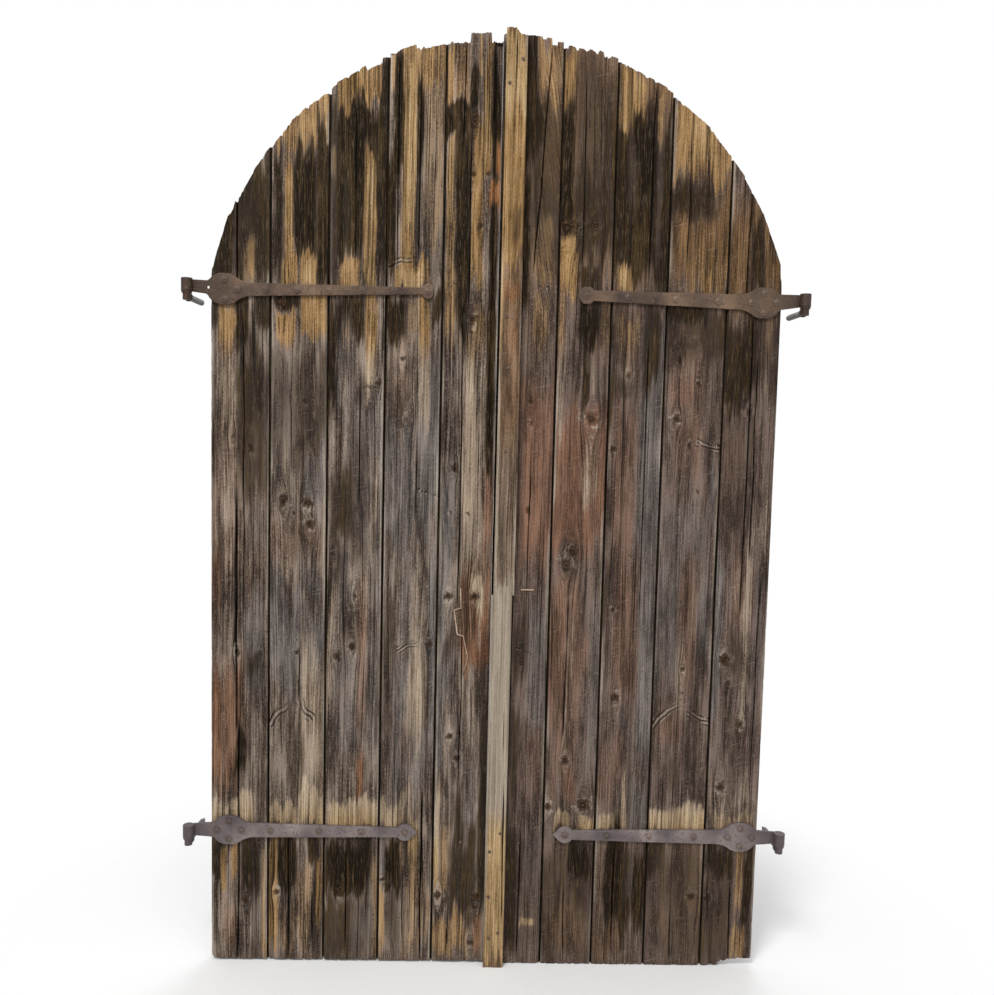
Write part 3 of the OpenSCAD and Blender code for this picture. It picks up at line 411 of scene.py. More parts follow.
# Knots: place across (share), height (mm), radius across (mm), length to width, and how dark
KNOTS = {
    "left_board_1": [(0.45, 750, 7, 1.2, 0.9), (0.86, 752, 6, 1.2, 0.3), (0.38, 1255, 6, 1.1, 0.6),
                     (0.7, 1228, 7, 1.3, 0.7), (0.62, 150, 7, 1.4, 0.5)],
    "left_board_2": [(0.23, 1109, 11, 1.1, 0.8), (0.68, 1104, 11, 1.2, 0.8), (0.71, 1055, 10, 1.1, 0.7),
                     (0.5, 756, 6, 1.0, 0.7), (0.44, 1347, 4, 1.0, 0.3), (0.62, 1335, 5, 1.0, 0.5),
                     (0.14, 172, 9, 0.9, 0.6), (0.2, 1562, 9, 1.2, 0.9), (0.42, 1080, 4, 1.0, 0.6)],
    "left_board_3": [(0.47, 769, 9, 1.1, 0.7), (0.2, 745, 8, 1.2, 0.8), (0.9, 1382, 7, 1.3, 0.6),
                     (0.3, 175, 9, 1.3, 0.6), (0.52, 890, 5, 1.0, 0.6)],
    "left_board_4": [(0.42, 1301, 8, 1.0, 0.2), (0.88, 779, 8, 1.0, 0.6), (0.06, 206, 7, 0.8, 0.7),
                     (0.3, 1440, 6, 1.2, 0.6)],
    "left_board_5": [(0.51, 1977, 9, 1.9, 0.9), (0.51, 1855, 6, 1.2, 0.8), (0.78, 1857, 5, 1.1, 1.0),
                     (0.65, 1740, 6, 1.3, 0.7), (0.54, 1532, 10, 1.2, 0.75), (0.26, 1191, 9, 1.2, 0.8),
                     (0.21, 1090, 4, 1.0, 0.5), (0.54, 1088, 5, 1.0, 0.5), (0.2, 893, 9, 1.1, 0.9),
                     (0.7, 893, 9, 1.2, 0.8), (0.27, 559, 8, 1.1, 0.8), (0.41, 505, 7, 1.2, 0.8),
                     (0.1, 170, 9, 1.3, 0.8), (0.85, 165, 11, 1.0, 1.0), (0.75, 52, 8, 1.0, 0.5)],
    "right_board_5": [(0.6, 1350, 5, 1.3, 0.5), (0.62, 1300, 6, 1.2, 0.5), (0.6, 1100, 5, 1.5, 0.5),
                      (0.55, 740, 5, 1.2, 0.5)],
    "right_board_4": [(0.12, 1742, 21, 1.1, 0.6), (0.66, 1749, 11, 1.0, 0.8), (0.7, 1313, 15, 1.2, 0.55),
                      (0.4, 1002, 12, 1.1, 0.6), (0.28, 975, 14, 1.0, 0.4), (0.38, 504, 9, 1.1, 0.7),
                      (0.77, 396, 15, 1.0, 1.0), (0.06, 392, 9, 1.0, 0.7)],
    "right_board_3": [(0.3, 659, 8, 1.1, 0.9), (0.35, 1415, 7, 1.2, 0.5), (0.1, 1245, 6, 1.1, 0.7),
                      (0.2, 870, 5, 1.0, 0.6)],
    "right_board_2": [(0.22, 1317, 10, 0.9, 0.9), (0.24, 1447, 5, 1.0, 0.4), (0.58, 1400, 5, 1.0, 0.7),
                      (0.5, 730, 6, 1.0, 0.8), (0.8, 174, 10, 1.0, 0.8), (0.62, 1150, 5, 1.0, 0.6),
                      (0.45, 1258, 5, 1.4, 0.6)],
    "right_board_1": [(0.48, 1338, 8, 1.1, 0.6), (0.22, 756, 12, 1.0, 1.0), (0.58, 599, 9, 1.0, 0.7),
                      (0.25, 444, 10, 1.0, 0.8), (0.1, 170, 8, 1.3, 0.8), (0.3, 700, 5, 1.2, 0.6)],
}

# Branch scars: one end and the other (share across, height) and width (mm)
SCARS = {
    "left_board_2": [(0.0, 586, 0.26, 622, 14), (0.74, 600, 0.56, 634, 13)],
    "left_board_4": [(0.0, 1652, 0.42, 1664, 11), (0.33, 764, 0.6, 778, 9), (0.62, 1139, 0.95, 1126, 5)],
    "left_board_3": [(0.66, 1378, 0.9, 1366, 6)],
    "right_board_2": [(0.0, 596, 0.42, 646, 13), (1.0, 604, 0.66, 624, 12), (1.0, 1249, 0.6, 1264, 11)],
    "right_board_5": [(0.48, 773, 0.72, 757, 4)],
    "right_board_4": [(0.72, 961, 0.9, 961, 4)],
}

# Splits along the grain: share across, foot, head (mm), width and depth (mm)
SPLITS = {
    "left_board_1": [(0.44, 1600, 1950, 3.0, 9), (0.44, 560, 1130, 3.2, 10), (0.49, 20, 600, 3.0, 9),
                     (0.57, 860, 1500, 2.2, 4)],
    "left_board_2": [(0.36, 10, 330, 2.4, 6), (0.55, 640, 780, 2.0, 4), (0.8, 60, 160, 2.4, 5)],
    "left_board_3": [(0.58, 1100, 1420, 2.0, 4), (0.45, 1650, 2000, 2.0, 4), (0.4, 40, 300, 2.2, 5)],
    "left_board_4": [(0.8, 10, 430, 3.2, 9), (0.6, 1080, 1240, 2.2, 4), (0.18, 1640, 2120, 2.4, 5),
                     (0.57, 1660, 2080, 2.2, 4), (0.46, 60, 240, 2.0, 4)],
    "left_board_5": [(0.38, 860, 1560, 2.4, 5), (0.47, 1560, 1960, 2.2, 5), (0.3, 20, 130, 2.4, 5),
                     (0.46, 440, 860, 2.2, 4), (0.33, 1900, 2150, 2.2, 5)],
    "right_board_5": [(0.6, 15, 330, 2.4, 6), (0.62, 890, 1200, 2.2, 4), (0.57, 1640, 2140, 2.2, 5)],
    "right_board_4": [(0.45, 15, 200, 2.0, 4), (0.42, 1650, 2080, 2.0, 4), (0.35, 560, 900, 2.0, 3)],
    "right_board_3": [(0.38, 60, 300, 2.2, 5), (0.66, 1640, 2060, 2.2, 5), (0.7, 860, 1500, 2.0, 3)],
    "right_board_2": [(0.45, 15, 150, 2.0, 4), (0.3, 1660, 1980, 2.0, 4), (0.4, 400, 470, 2.0, 4)],
    "right_board_1": [(0.52, 15, 210, 3.0, 8), (0.48, 860, 1560, 2.6, 6), (0.6, 1000, 1480, 2.2, 5),
                      (0.35, 1600, 1850, 2.4, 6), (0.82, 420, 960, 2.0, 4)],
    "cover_strip": [(0.55, 2020, 2170, 2.0, 4), (0.75, 120, 460, 2.2, 4), (0.7, 520, 640, 2.0, 3)],
}

CHANNELS = {"soot_and_shade": 0, "tan": 1, "silver": 2, "rust": 3, "cream": 4}
COVERS = {"soot_and_shade": ("tan", "cream", "silver", "rust"), "tan": ("soot_and_shade", "silver"),
          "cream": ("soot_and_shade", "rust", "silver"), "silver": ("soot_and_shade",), "rust": ("soot_and_shade",)}

# Under the arch and at the foot these stains end in a torn comb, with this share of the usual fade
TORN_FADE = {"soot_and_shade": 0.85, "tan": 0.5, "cream": 0.5}
ARCH_STAINS_Z = 1480
FOOT_STAINS_Z = 440


def outline(name, columns):
    """Foot and head of a CAD board at each column, from the faces that look to the front."""
    mesh = frame["nodes"][name].data
    points = np.empty(len(mesh.vertices) * 3)
    mesh.vertices.foreach_get("co", points)
    points = points.reshape(-1, 3) / MM
    mesh.calc_loop_triangles()
    corners = np.empty(len(mesh.loop_triangles) * 3, int)
    mesh.loop_triangles.foreach_get("vertices", corners)
    faces = points[corners.reshape(-1, 3)]
    turn = np.cross(faces[:, 1] - faces[:, 0], faces[:, 2] - faces[:, 0])
    faces = faces[turn[:, 1] < -0.9 * np.linalg.norm(turn, axis=1)]
    if name not in MEETING_BOARDS:
        faces = faces[faces[..., 1].max(axis=1) < FRONT_Y + TONGUE_FRONT - 1]
    plane = faces[faces[..., 1].max(axis=1) < faces[..., 1].min() + 1]
    left, right = plane[..., 0].min(), plane[..., 0].max()
    xs = left + (right - left) * np.clip(columns, 0.0005, 0.9995)
    foot, head = np.full(len(xs), np.inf), np.full(len(xs), -np.inf)
    for a, b in ((0, 1), (1, 2), (2, 0)):
        start, end = faces[:, a], faces[:, b]
        run = end[:, 0] - start[:, 0]
        for i, x in enumerate(xs):
            share = (x - start[:, 0]) / np.where(np.abs(run) < 1e-9, 1e-9, run)
            hit = (share >= 0) & (share <= 1)
            if hit.any():
                z = start[hit, 2] + share[hit] * (end[hit, 2] - start[hit, 2])
                foot[i], head[i] = min(foot[i], z.min()), max(head[i], z.max())
    return left, right, foot, head


def plank(columns, rows, bands, sides):
    """A closed plank on unit sides, its depth (mm) below z = 0, with an edge loop at each depth of bands.

    Each (side, mark) of sides pulls out a tongue or a groove, to be brought to its place later.
    """
    bm = bmesh.new()
    bmesh.ops.create_grid(bm, x_segments=columns, y_segments=rows, size=0.5)
    rim = [e for e in bm.edges if e.is_boundary]
    for depth in bands:
        grown = bmesh.ops.extrude_edge_only(bm, edges=rim)["geom"]
        for v in (g for g in grown if isinstance(g, bmesh.types.BMVert)):
            v.co.z = -depth
        rim = [g for g in grown if isinstance(g, bmesh.types.BMEdge) and g.is_boundary]
    back = bmesh.ops.contextual_create(bm, geom=rim)["faces"]
    bmesh.ops.triangulate(bm, faces=back)
    for side, mark in sides:
        band = [f for f in bm.faces if all(abs(v.co.x - side * 0.5) < 1e-6 for v in f.verts)
                and all(-TONGUE_BACK - 0.01 < v.co.z < -TONGUE_FRONT + 0.01 for v in f.verts)]
        out = bmesh.ops.extrude_face_region(bm, geom=band)["geom"]
        bmesh.ops.delete(bm, geom=band, context="FACES_ONLY")
        for v in (g for g in out if isinstance(g, bmesh.types.BMVert)):
            v.co.x = side * mark
    bmesh.ops.recalc_face_normals(bm, faces=bm.faces)
    return bm


def row_heights(name, foot, head, rows):
    """Heights of the rows, from 0 to 1, closer together at knots, branch scars and the two ends."""
    samples, scar_size = 2000, 22
    z = np.linspace(foot, head, samples)
    crowd = 1 + 2.2 * np.exp(-(z - foot) / 25) + 2.2 * np.exp(-(head - z) / 25)
    spots = [(height, radius) for _, height, radius, _, _ in KNOTS.get(name, ())]
    spots += [((z0 + z1) / 2, scar_size) for _, z0, _, z1, _ in SCARS.get(name, ())]
    for height, size in spots:
        crowd = crowd + 3.0 * np.exp(-((z - height) / (14 + size)) ** 2)
    total = np.cumsum(crowd)
    total = (total - total[0]) / (total[-1] - total[0])
    return np.interp(np.linspace(0, 1, rows + 1), total, np.linspace(0, 1, samples))


def stain_fields(name, seed, share, across, z, width):
    """Strength of each stain at each point, 0 to 1."""
    fields = [np.zeros(len(z)) for _ in CHANNELS]
    drift = 9 * (streaks(seed + 40, z / 110, across / 14, 1, 1) - 0.5)
    comb = streaks(seed + 50, across, z, 17.0, 420) - 0.5
    speck = streaks(seed + 60, across, z, 2.4, 46) - 0.5
    for kind, left, right, foot, head, strength in STAINS.get(name, ()):
        fade = min(110.0, 0.5 * (head - foot) + 8)
        height = z + comb * fade * 1.5 + speck * fade * 0.75
        torn = kind in TORN_FADE and (head > ARCH_STAINS_Z or head < FOOT_STAINS_Z)
        fade = fade * (TORN_FADE[kind] if torn else 1.0)
        side = share * width + drift + 5 * speck
        soft = 2 + (0.14 if torn else 0.2) * (right - left) * width
        mask = smooth(side, left * width - soft, left * width + soft) if left > 0 else 1.0
        mask = mask * (1 - smooth(side, right * width - soft, right * width + soft) if right < 1 else 1.0)
        mask = mask * smooth(height, foot - fade / 2, foot + fade / 2)
        mask = mask * (1 - smooth(height, head - fade / 2, head + fade / 2))
        mask = mask * strength * (0.75 if kind == "soot_and_shade" and not torn else 1.0)
        for under in COVERS[kind]:
            fields[CHANNELS[under]] *= 1 - 0.85 * mask
        fields[CHANNELS[kind]] = np.maximum(fields[CHANNELS[kind]], mask)
    return fields


def knotted_grain(name, share, z, width, wander):
    """Grain lines that part round the knots.

    Gives the place across the grain, how dark the knots are, their open rings, how near each point is to a
    core, and the pale halo where a ring is closed.
    """
    x = share * width
    across = x + wander
    dark, ring, core_at, halo = (np.zeros(len(z)) for _ in range(4))
    for place, height, radius, long, depth in KNOTS.get(name, ()):
        dx, dz = x - place * width, (z - height) / long
        far = np.sqrt(dx * dx + dz * dz) * (0.55 + 0.9 * lattice(int(height), dx / 4 + 40, dz / 5 + 40))
        way = np.arctan2(dz, dx)
        open_side = smooth(lattice(int(height) + 1, way / 1.1 + 20, way * 0), 0.3, 0.7)
        pull = np.sqrt(dx * dx + (dz / 2.6) ** 2)
        across = across - dx * (radius / np.maximum(pull, radius)) ** 2 * 0.9
        core = 1 - smooth(far, radius * 0.55, radius * 1.1)
        dark = np.maximum(dark, depth * core)
        ring = np.maximum(ring, open_side * np.exp(-((far - radius) / 1.6) ** 2))
        core_at = np.maximum(core_at, np.clip(1.3 - far / radius, 0, 1.3))
        halo = np.maximum(halo, (1 - open_side) * np.exp(-((far / radius - 1.4) / 0.35) ** 2))
    return across, dark, ring, core_at, halo


def split_wood(name, seed, share, z, width, wander):
    """How open the board's splits are at each point, 0 to 1, and how deep (mm)."""
    crack, gouge = np.zeros(len(z)), np.zeros(len(z))
    for place, foot, head, gap, deep in SPLITS.get(name, ()):
        line = place * width + 0.35 * wander + 4 * (lattice(seed, z / 130, z * 0 + place * 9) - 0.5)
        opened = 1 - smooth(np.abs(share * width - line), gap * 0.3, gap * 0.8)
        opened = opened * smooth(z, foot - 30, foot + 40) * (1 - smooth(z, head - 60, head + 30))
        crack, gouge = np.maximum(crack, opened), np.maximum(gouge, deep * opened)
    return crack, gouge


def scarred_wood(name, seed, share, z, width):
    """Ripples of the board's branch scars, and the pale wood between them, 0 to 1."""
    ripples, pale = np.zeros(len(z)), np.zeros(len(z))
    for x0, z0, x1, z1, broad in SCARS.get(name, ()):
        start, run = np.array((x0 * width, z0)), np.array(((x1 - x0) * width, z1 - z0))
        to = np.stack((share * width - start[0], z - start[1]), axis=1)
        along = np.clip(to @ run / (run @ run), 0, 1)
        past = np.linalg.norm(to - along[:, None] * run, axis=1)
        off = (to[:, 0] * run[1] - to[:, 1] * run[0]) / np.linalg.norm(run)
        off = off + 0.5 * broad * np.sin(math.pi * along) + 3 * (lattice(seed, z / 9, share * 12) - 0.5)
        ripple = np.cos(2 * math.pi * off / (0.8 * broad)) * (1 - smooth(past, 0.75 * broad, 1.15 * broad))
        ripple = ripple * (1 - 0.3 * along)
        spindle = 1 - smooth(past, 0.65 * broad * (1 - 0.4 * along), broad * (1 - 0.4 * along))
        pale = np.maximum(pale, 0.75 * spindle * (1 - np.clip(1.2 * ripple, 0, 1)))
        ripples = np.maximum(ripples, np.clip(ripple, 0, 1))
    return ripples, pale


def lost_edge(seed, share, z, width, worn):
    """Depth of wear (mm) with the wood lost from the right edge and the rotted channel beside it."""
    from_edge = (1 - share) * width + 3 * (streaks(seed, z / 60, z * 0, 1, 1) - 0.5)
    lost = (1 - smooth(from_edge, LOST_W - 2.5, LOST_W + 2.5)) * smooth(z, LOST_Z - 8, LOST_Z + 22)
    channel = 1 - smooth(from_edge, CHANNEL_W - 3, CHANNEL_W + 3)
    channel = channel * smooth(z, CHANNEL_Z - 60, CHANNEL_Z + 240) * smooth(from_edge, 1.5, 4.5)
    return worn + LOST_D * lost + CHANNEL_D * channel * (1 - lost)


def mark_points(mesh, **layers):
    """Writes values at the mesh's vertices, three or four to a vertex, for its material to read."""
    for title, values in layers.items():
        kind, part = ("FLOAT_VECTOR", "vector") if values.shape[1] == 3 else ("FLOAT_COLOR", "color")
        layer = mesh.attributes.new(title, kind, "POINT")
        layer.data.foreach_set(part, values.ravel().astype(np.float32))


def board_piece(name, seed, tongue_side, material):
    """A weathered board in place of its CAD node, its face carved inwards from the CAD's faces."""
    low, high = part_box(name)
    columns = max(12, int((high[0] - low[0]) / MM / COLUMN_MM))
    rows = int((high[2] - low[2]) / MM / ROW_MM)
    thick = (high[1] - low[1]) / MM
    bands, sides = (EDGE_DEPTH, thick / 2, thick), []
    if tongue_side:
        bands = (EDGE_DEPTH, TONGUE_FRONT, TONGUE_BACK, thick)
        sides = [] if name[-1] == "1" else [(-tongue_side, GROOVE_MARK)]
        sides += [] if name in MEETING_BOARDS else [(tongue_side, TONGUE_MARK)]
    bm = plank(columns, rows, bands, sides)
    mesh = bpy.data.meshes.new(name + "_worn")
    bm.to_mesh(mesh)
    bm.free()
    unit = np.empty(len(mesh.vertices) * 3)
    mesh.vertices.foreach_get("co", unit)
    unit = unit.reshape(-1, 3)
    rise, depth = unit[:, 1] + 0.5, -unit[:, 2]
    share = np.clip(unit[:, 0], -0.5, 0.5) + 0.5
    side = np.where(share < 1e-6, 1.0, np.where(share > 1 - 1e-6, -1.0, 0.0))
    mark = np.abs(unit[:, 0])
    reach = np.where(mark == GROOVE_MARK, -GROOVE_IN, np.where(mark == TONGUE_MARK, TONGUE_OUT, 0.0))
    reach = reach * np.sign(unit[:, 0])
    front = depth < 0.01
    rounded = ~front & (depth < EDGE_DEPTH + 0.1)

    # Outline of the CAD board, with a finer worn head and foot that only go inwards
    grid = np.linspace(0, 1, columns + 1)
    left, right, foot, head = outline(name, grid)
    if name == "left_board_5":
        # Behind the lost edge the wood goes on up to the head
        head[-1] = head[-2]
    if tongue_side:
        left -= 0 if name == "right_board_5" else ARRIS
        right += 0 if name == "left_board_5" else ARRIS
    width = right - left
    comb = streaks(seed + 1, grid * width, grid * 0, 9.0, 1)
    head = head - 6 * smooth(comb, 0.5, 0.85) - 1.6 * lattice(seed + 2, grid * width / 1.7, grid * 0)
    foot = foot + 4 * smooth(streaks(seed + 3, grid * width, grid * 0, 5.0, 1), 0.5, 0.9)
    foot_at, head_at = np.interp(share, grid, foot), np.interp(share, grid, head)
    x = left + share * width + reach + EDGE_WEAR * side * (front | rounded) * (tongue_side != 0)
    if name in MEETING_BOARDS:
        meeting = side == -tongue_side
        x = x + meeting * side * (depth * PLANED_BACK - CLOSED_UP - EDGE_WEAR * (front | rounded))
    rise = np.interp(rise, np.linspace(0, 1, rows + 1), row_heights(name, foot.min(), head.max(), rows))
    z = foot_at + rise * (head_at - foot_at)

    # Grain, knots, scars and splits
    wander = 16 * (streaks(seed + 4, share * width / 90, z / 900, 1, 1) - 0.5)
    wander = wander + 5 * (streaks(seed + 5, share * width / 30, z / 260, 1, 1) - 0.5)
    if name == "right_board_5":
        wander = wander + 0.16 * np.clip(z - 1560, 0, None) * smooth(share, 0.3, 0.7)
    across, dark, ring, core_at, halo = knotted_grain(name, share, z, width, wander)
    ridge = streaks(seed + 6, across, z, 3.6, 520)
    furrow = smooth(streaks(seed + 7, across, z, 6.5, 700), 0.58, 0.8)
    crack, gouge = split_wood(name, seed + 8, share, z, width, wander)
    ripples, pale = scarred_wood(name, seed + 9, share, z, width)
    crack = np.maximum(crack, 0.75 * smooth(ripples, 0.45, 0.95))
    gouge, dark = np.maximum(gouge, SCAR_RIPPLES * ripples), np.maximum(dark, 0.6 * ripples)
    fields = stain_fields(name, seed, share, across, z, width)

    # Depth of wear on the front, millimetres into the wood
    edge = np.minimum(share, 1 - share) * width
    chip = smooth(streaks(seed + 10, edge * 0 + (share > 0.5) * 7.7, z, 1, 26), 0.62, 0.8)
    to_head, to_foot = head_at - z, z - foot_at
    bare = fields[CHANNELS["tan"]] + fields[CHANNELS["cream"]]
    worn = FACE_LOSS + RIDGES * ridge + FURROWS * furrow + BARE_STREAKS * bare
    worn = worn + CUPPING * (lattice(seed + 11, share * 2.2, z / 300)) * (4 * (share - 0.5) ** 2)
    worn = worn * (0.7 + 0.9 * np.exp(-to_head / 120) + 0.4 * np.exp(-to_foot / 90))
    worn = worn + gouge + KNOT_RINGS * ring + KNOT_CORES * dark
    worn = worn + (0.4 + 0.9 * lattice(seed + 12, z / 60, share * 3)) * np.exp(-edge / 1.0)
    worn = worn + CHIPPED_EDGES * chip * np.exp(-edge / 2.5)
    worn = worn + WORN_HEAD * np.exp(-to_head / 7) + WORN_FOOT * np.exp(-to_foot / 6)
    if name == "left_board_5":
        worn = lost_edge(seed + 13, share, z, width, worn)
    face_y, deepest = FRONT_Y, 0.62 * thick
    if name == "cover_strip":
        face_y, worn = FRONT_Y - thick, worn * 0.55
    y = face_y + np.where(front, worn, np.where(rounded, worn + depth, depth))
    y = np.minimum(y, face_y + np.where(front | rounded, deepest, thick))
    mesh.vertices.foreach_set("co", (np.stack((x, y, z), axis=1) * MM).ravel().astype(np.float32))

    # What the wood's material reads at each point: its place in the grain; soot with painted shade, tan,
    # silver and rust; cracks, dark knots, cream with a painted highlight on the cover strip, and furrows;
    # nearness to a knot's core, dark knots, and a painted highlight along the edges with the pale wood of
    # scars and knot halos
    grain = np.stack((across + reach, z, seed * 13.7 + depth * 0.7), axis=1)
    outer = (name[-1] == "1") & (side == tongue_side)
    in_joint = ~(front | rounded) & (depth < thick - 1) & (side != 0) & ~outer
    # Board sides in the joints get painted shade with soot; the back, the ends and the outer edges get a
    # little soot
    joint_shade_and_back_soot = np.where(in_joint, JOINT_SHADE_AND_SOOT, BACK_SOOT)
    *stains, cream = (np.where(front, field, joint_shade_and_back_soot if kind == "soot_and_shade" else 0.0)
                      for kind, field in zip(CHANNELS, fields))
    # Painted highlight in pale bands along the board edges, broken along the grain, with the pale wood of
    # branch scars and knot halos
    highlit_stretches = smooth(streaks(seed + 14, z / 260, (share > 0.5) * 5.5, 1, 1), 0.4, 0.66)
    edge_highlight_and_pale_wood = np.maximum(np.exp(-(edge / 7.0) ** 2) * highlit_stretches, np.maximum(pale, 0.8 * halo))
    hollow = np.where(front, np.maximum(crack, 0.7 * ring * (dark > 0.02)), 0.0)
    wear = np.stack((hollow, np.where(front, dark, 0), cream, np.where(front, furrow, 0.6)), axis=1)
    knot = np.stack([np.where(front, field, 0) for field in (core_at, dark, edge_highlight_and_pale_wood)], axis=1)
    mark_points(mesh, grain=grain, stain=np.stack(stains, axis=1), wear=wear, knot=knot)
    mesh.shade_smooth()
    mesh.set_sharp_from_angle(angle=math.radians(50))
    return put_in_place(mesh, name, material)


def put_in_place(mesh, name, material):
    """Puts a finished mesh in its CAD node's place, on the node's body."""
    mesh.materials.clear()
    mesh.materials.append(material)
    piece = bpy.data.objects.new(name + "_worn", mesh)
    bpy.context.scene.collection.objects.link(piece)
    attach(piece, NODE_BODY[name])
    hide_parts(name)
    return piece


def grain_patterns(tree, grain):
    """Noise in the wood by name, drawn out along the grain; only the scratches run aslant across it.

    Each has its size across and along the grain in millimetres, and its detail. Grain lines come about 5 mm
    apart, and fibres, crumbs and specks are 2 to 3 mm wide: finer, as on real wood, they wouldn't show.
    """
    aslant = node(tree, "ShaderNodeMapping", {
        "Vector": grain, "Rotation": (0.0, 0.0, math.radians(72))}).outputs[0]
    patterns = {}
    for title, wide, long, detail in (
            ("crumbs", 2.6, 6.0, 2.0), ("specks", 2.4, 4.0, 1.0), ("clouds", 34.0, 200.0, 3.0),
            ("scratches", 2.2, 50.0, 0.0), ("rings", 2.5, 260.0, 1.0), ("fibres", 1.8, 38.0, 1.0),
            ("broad", 9.0, 380.0, 2.0), ("checks", 4.2, 560.0, 1.0)):
        if title == "scratches":
            where = aslant
        elif title in ("rings", "fibres", "broad", "checks"):
            where = node(tree, "ShaderNodeVectorMath", {0: patterns["crumbs"], 1: (2.2, 0.0, 0.0), 2: grain},
                         operation="MULTIPLY_ADD").outputs[0]
        else:
            where = grain
        scaled = node(tree, "ShaderNodeVectorMath", {
            0: where, 1: (1 / wide, 1 / long, 1.0)}, operation="MULTIPLY")
        patterns[title] = node(tree, "ShaderNodeTexNoise", {
            "Vector": scaled.outputs[0], "Scale": 1.0, "Detail": detail, "Roughness": 0.6}).outputs[0]
    return patterns


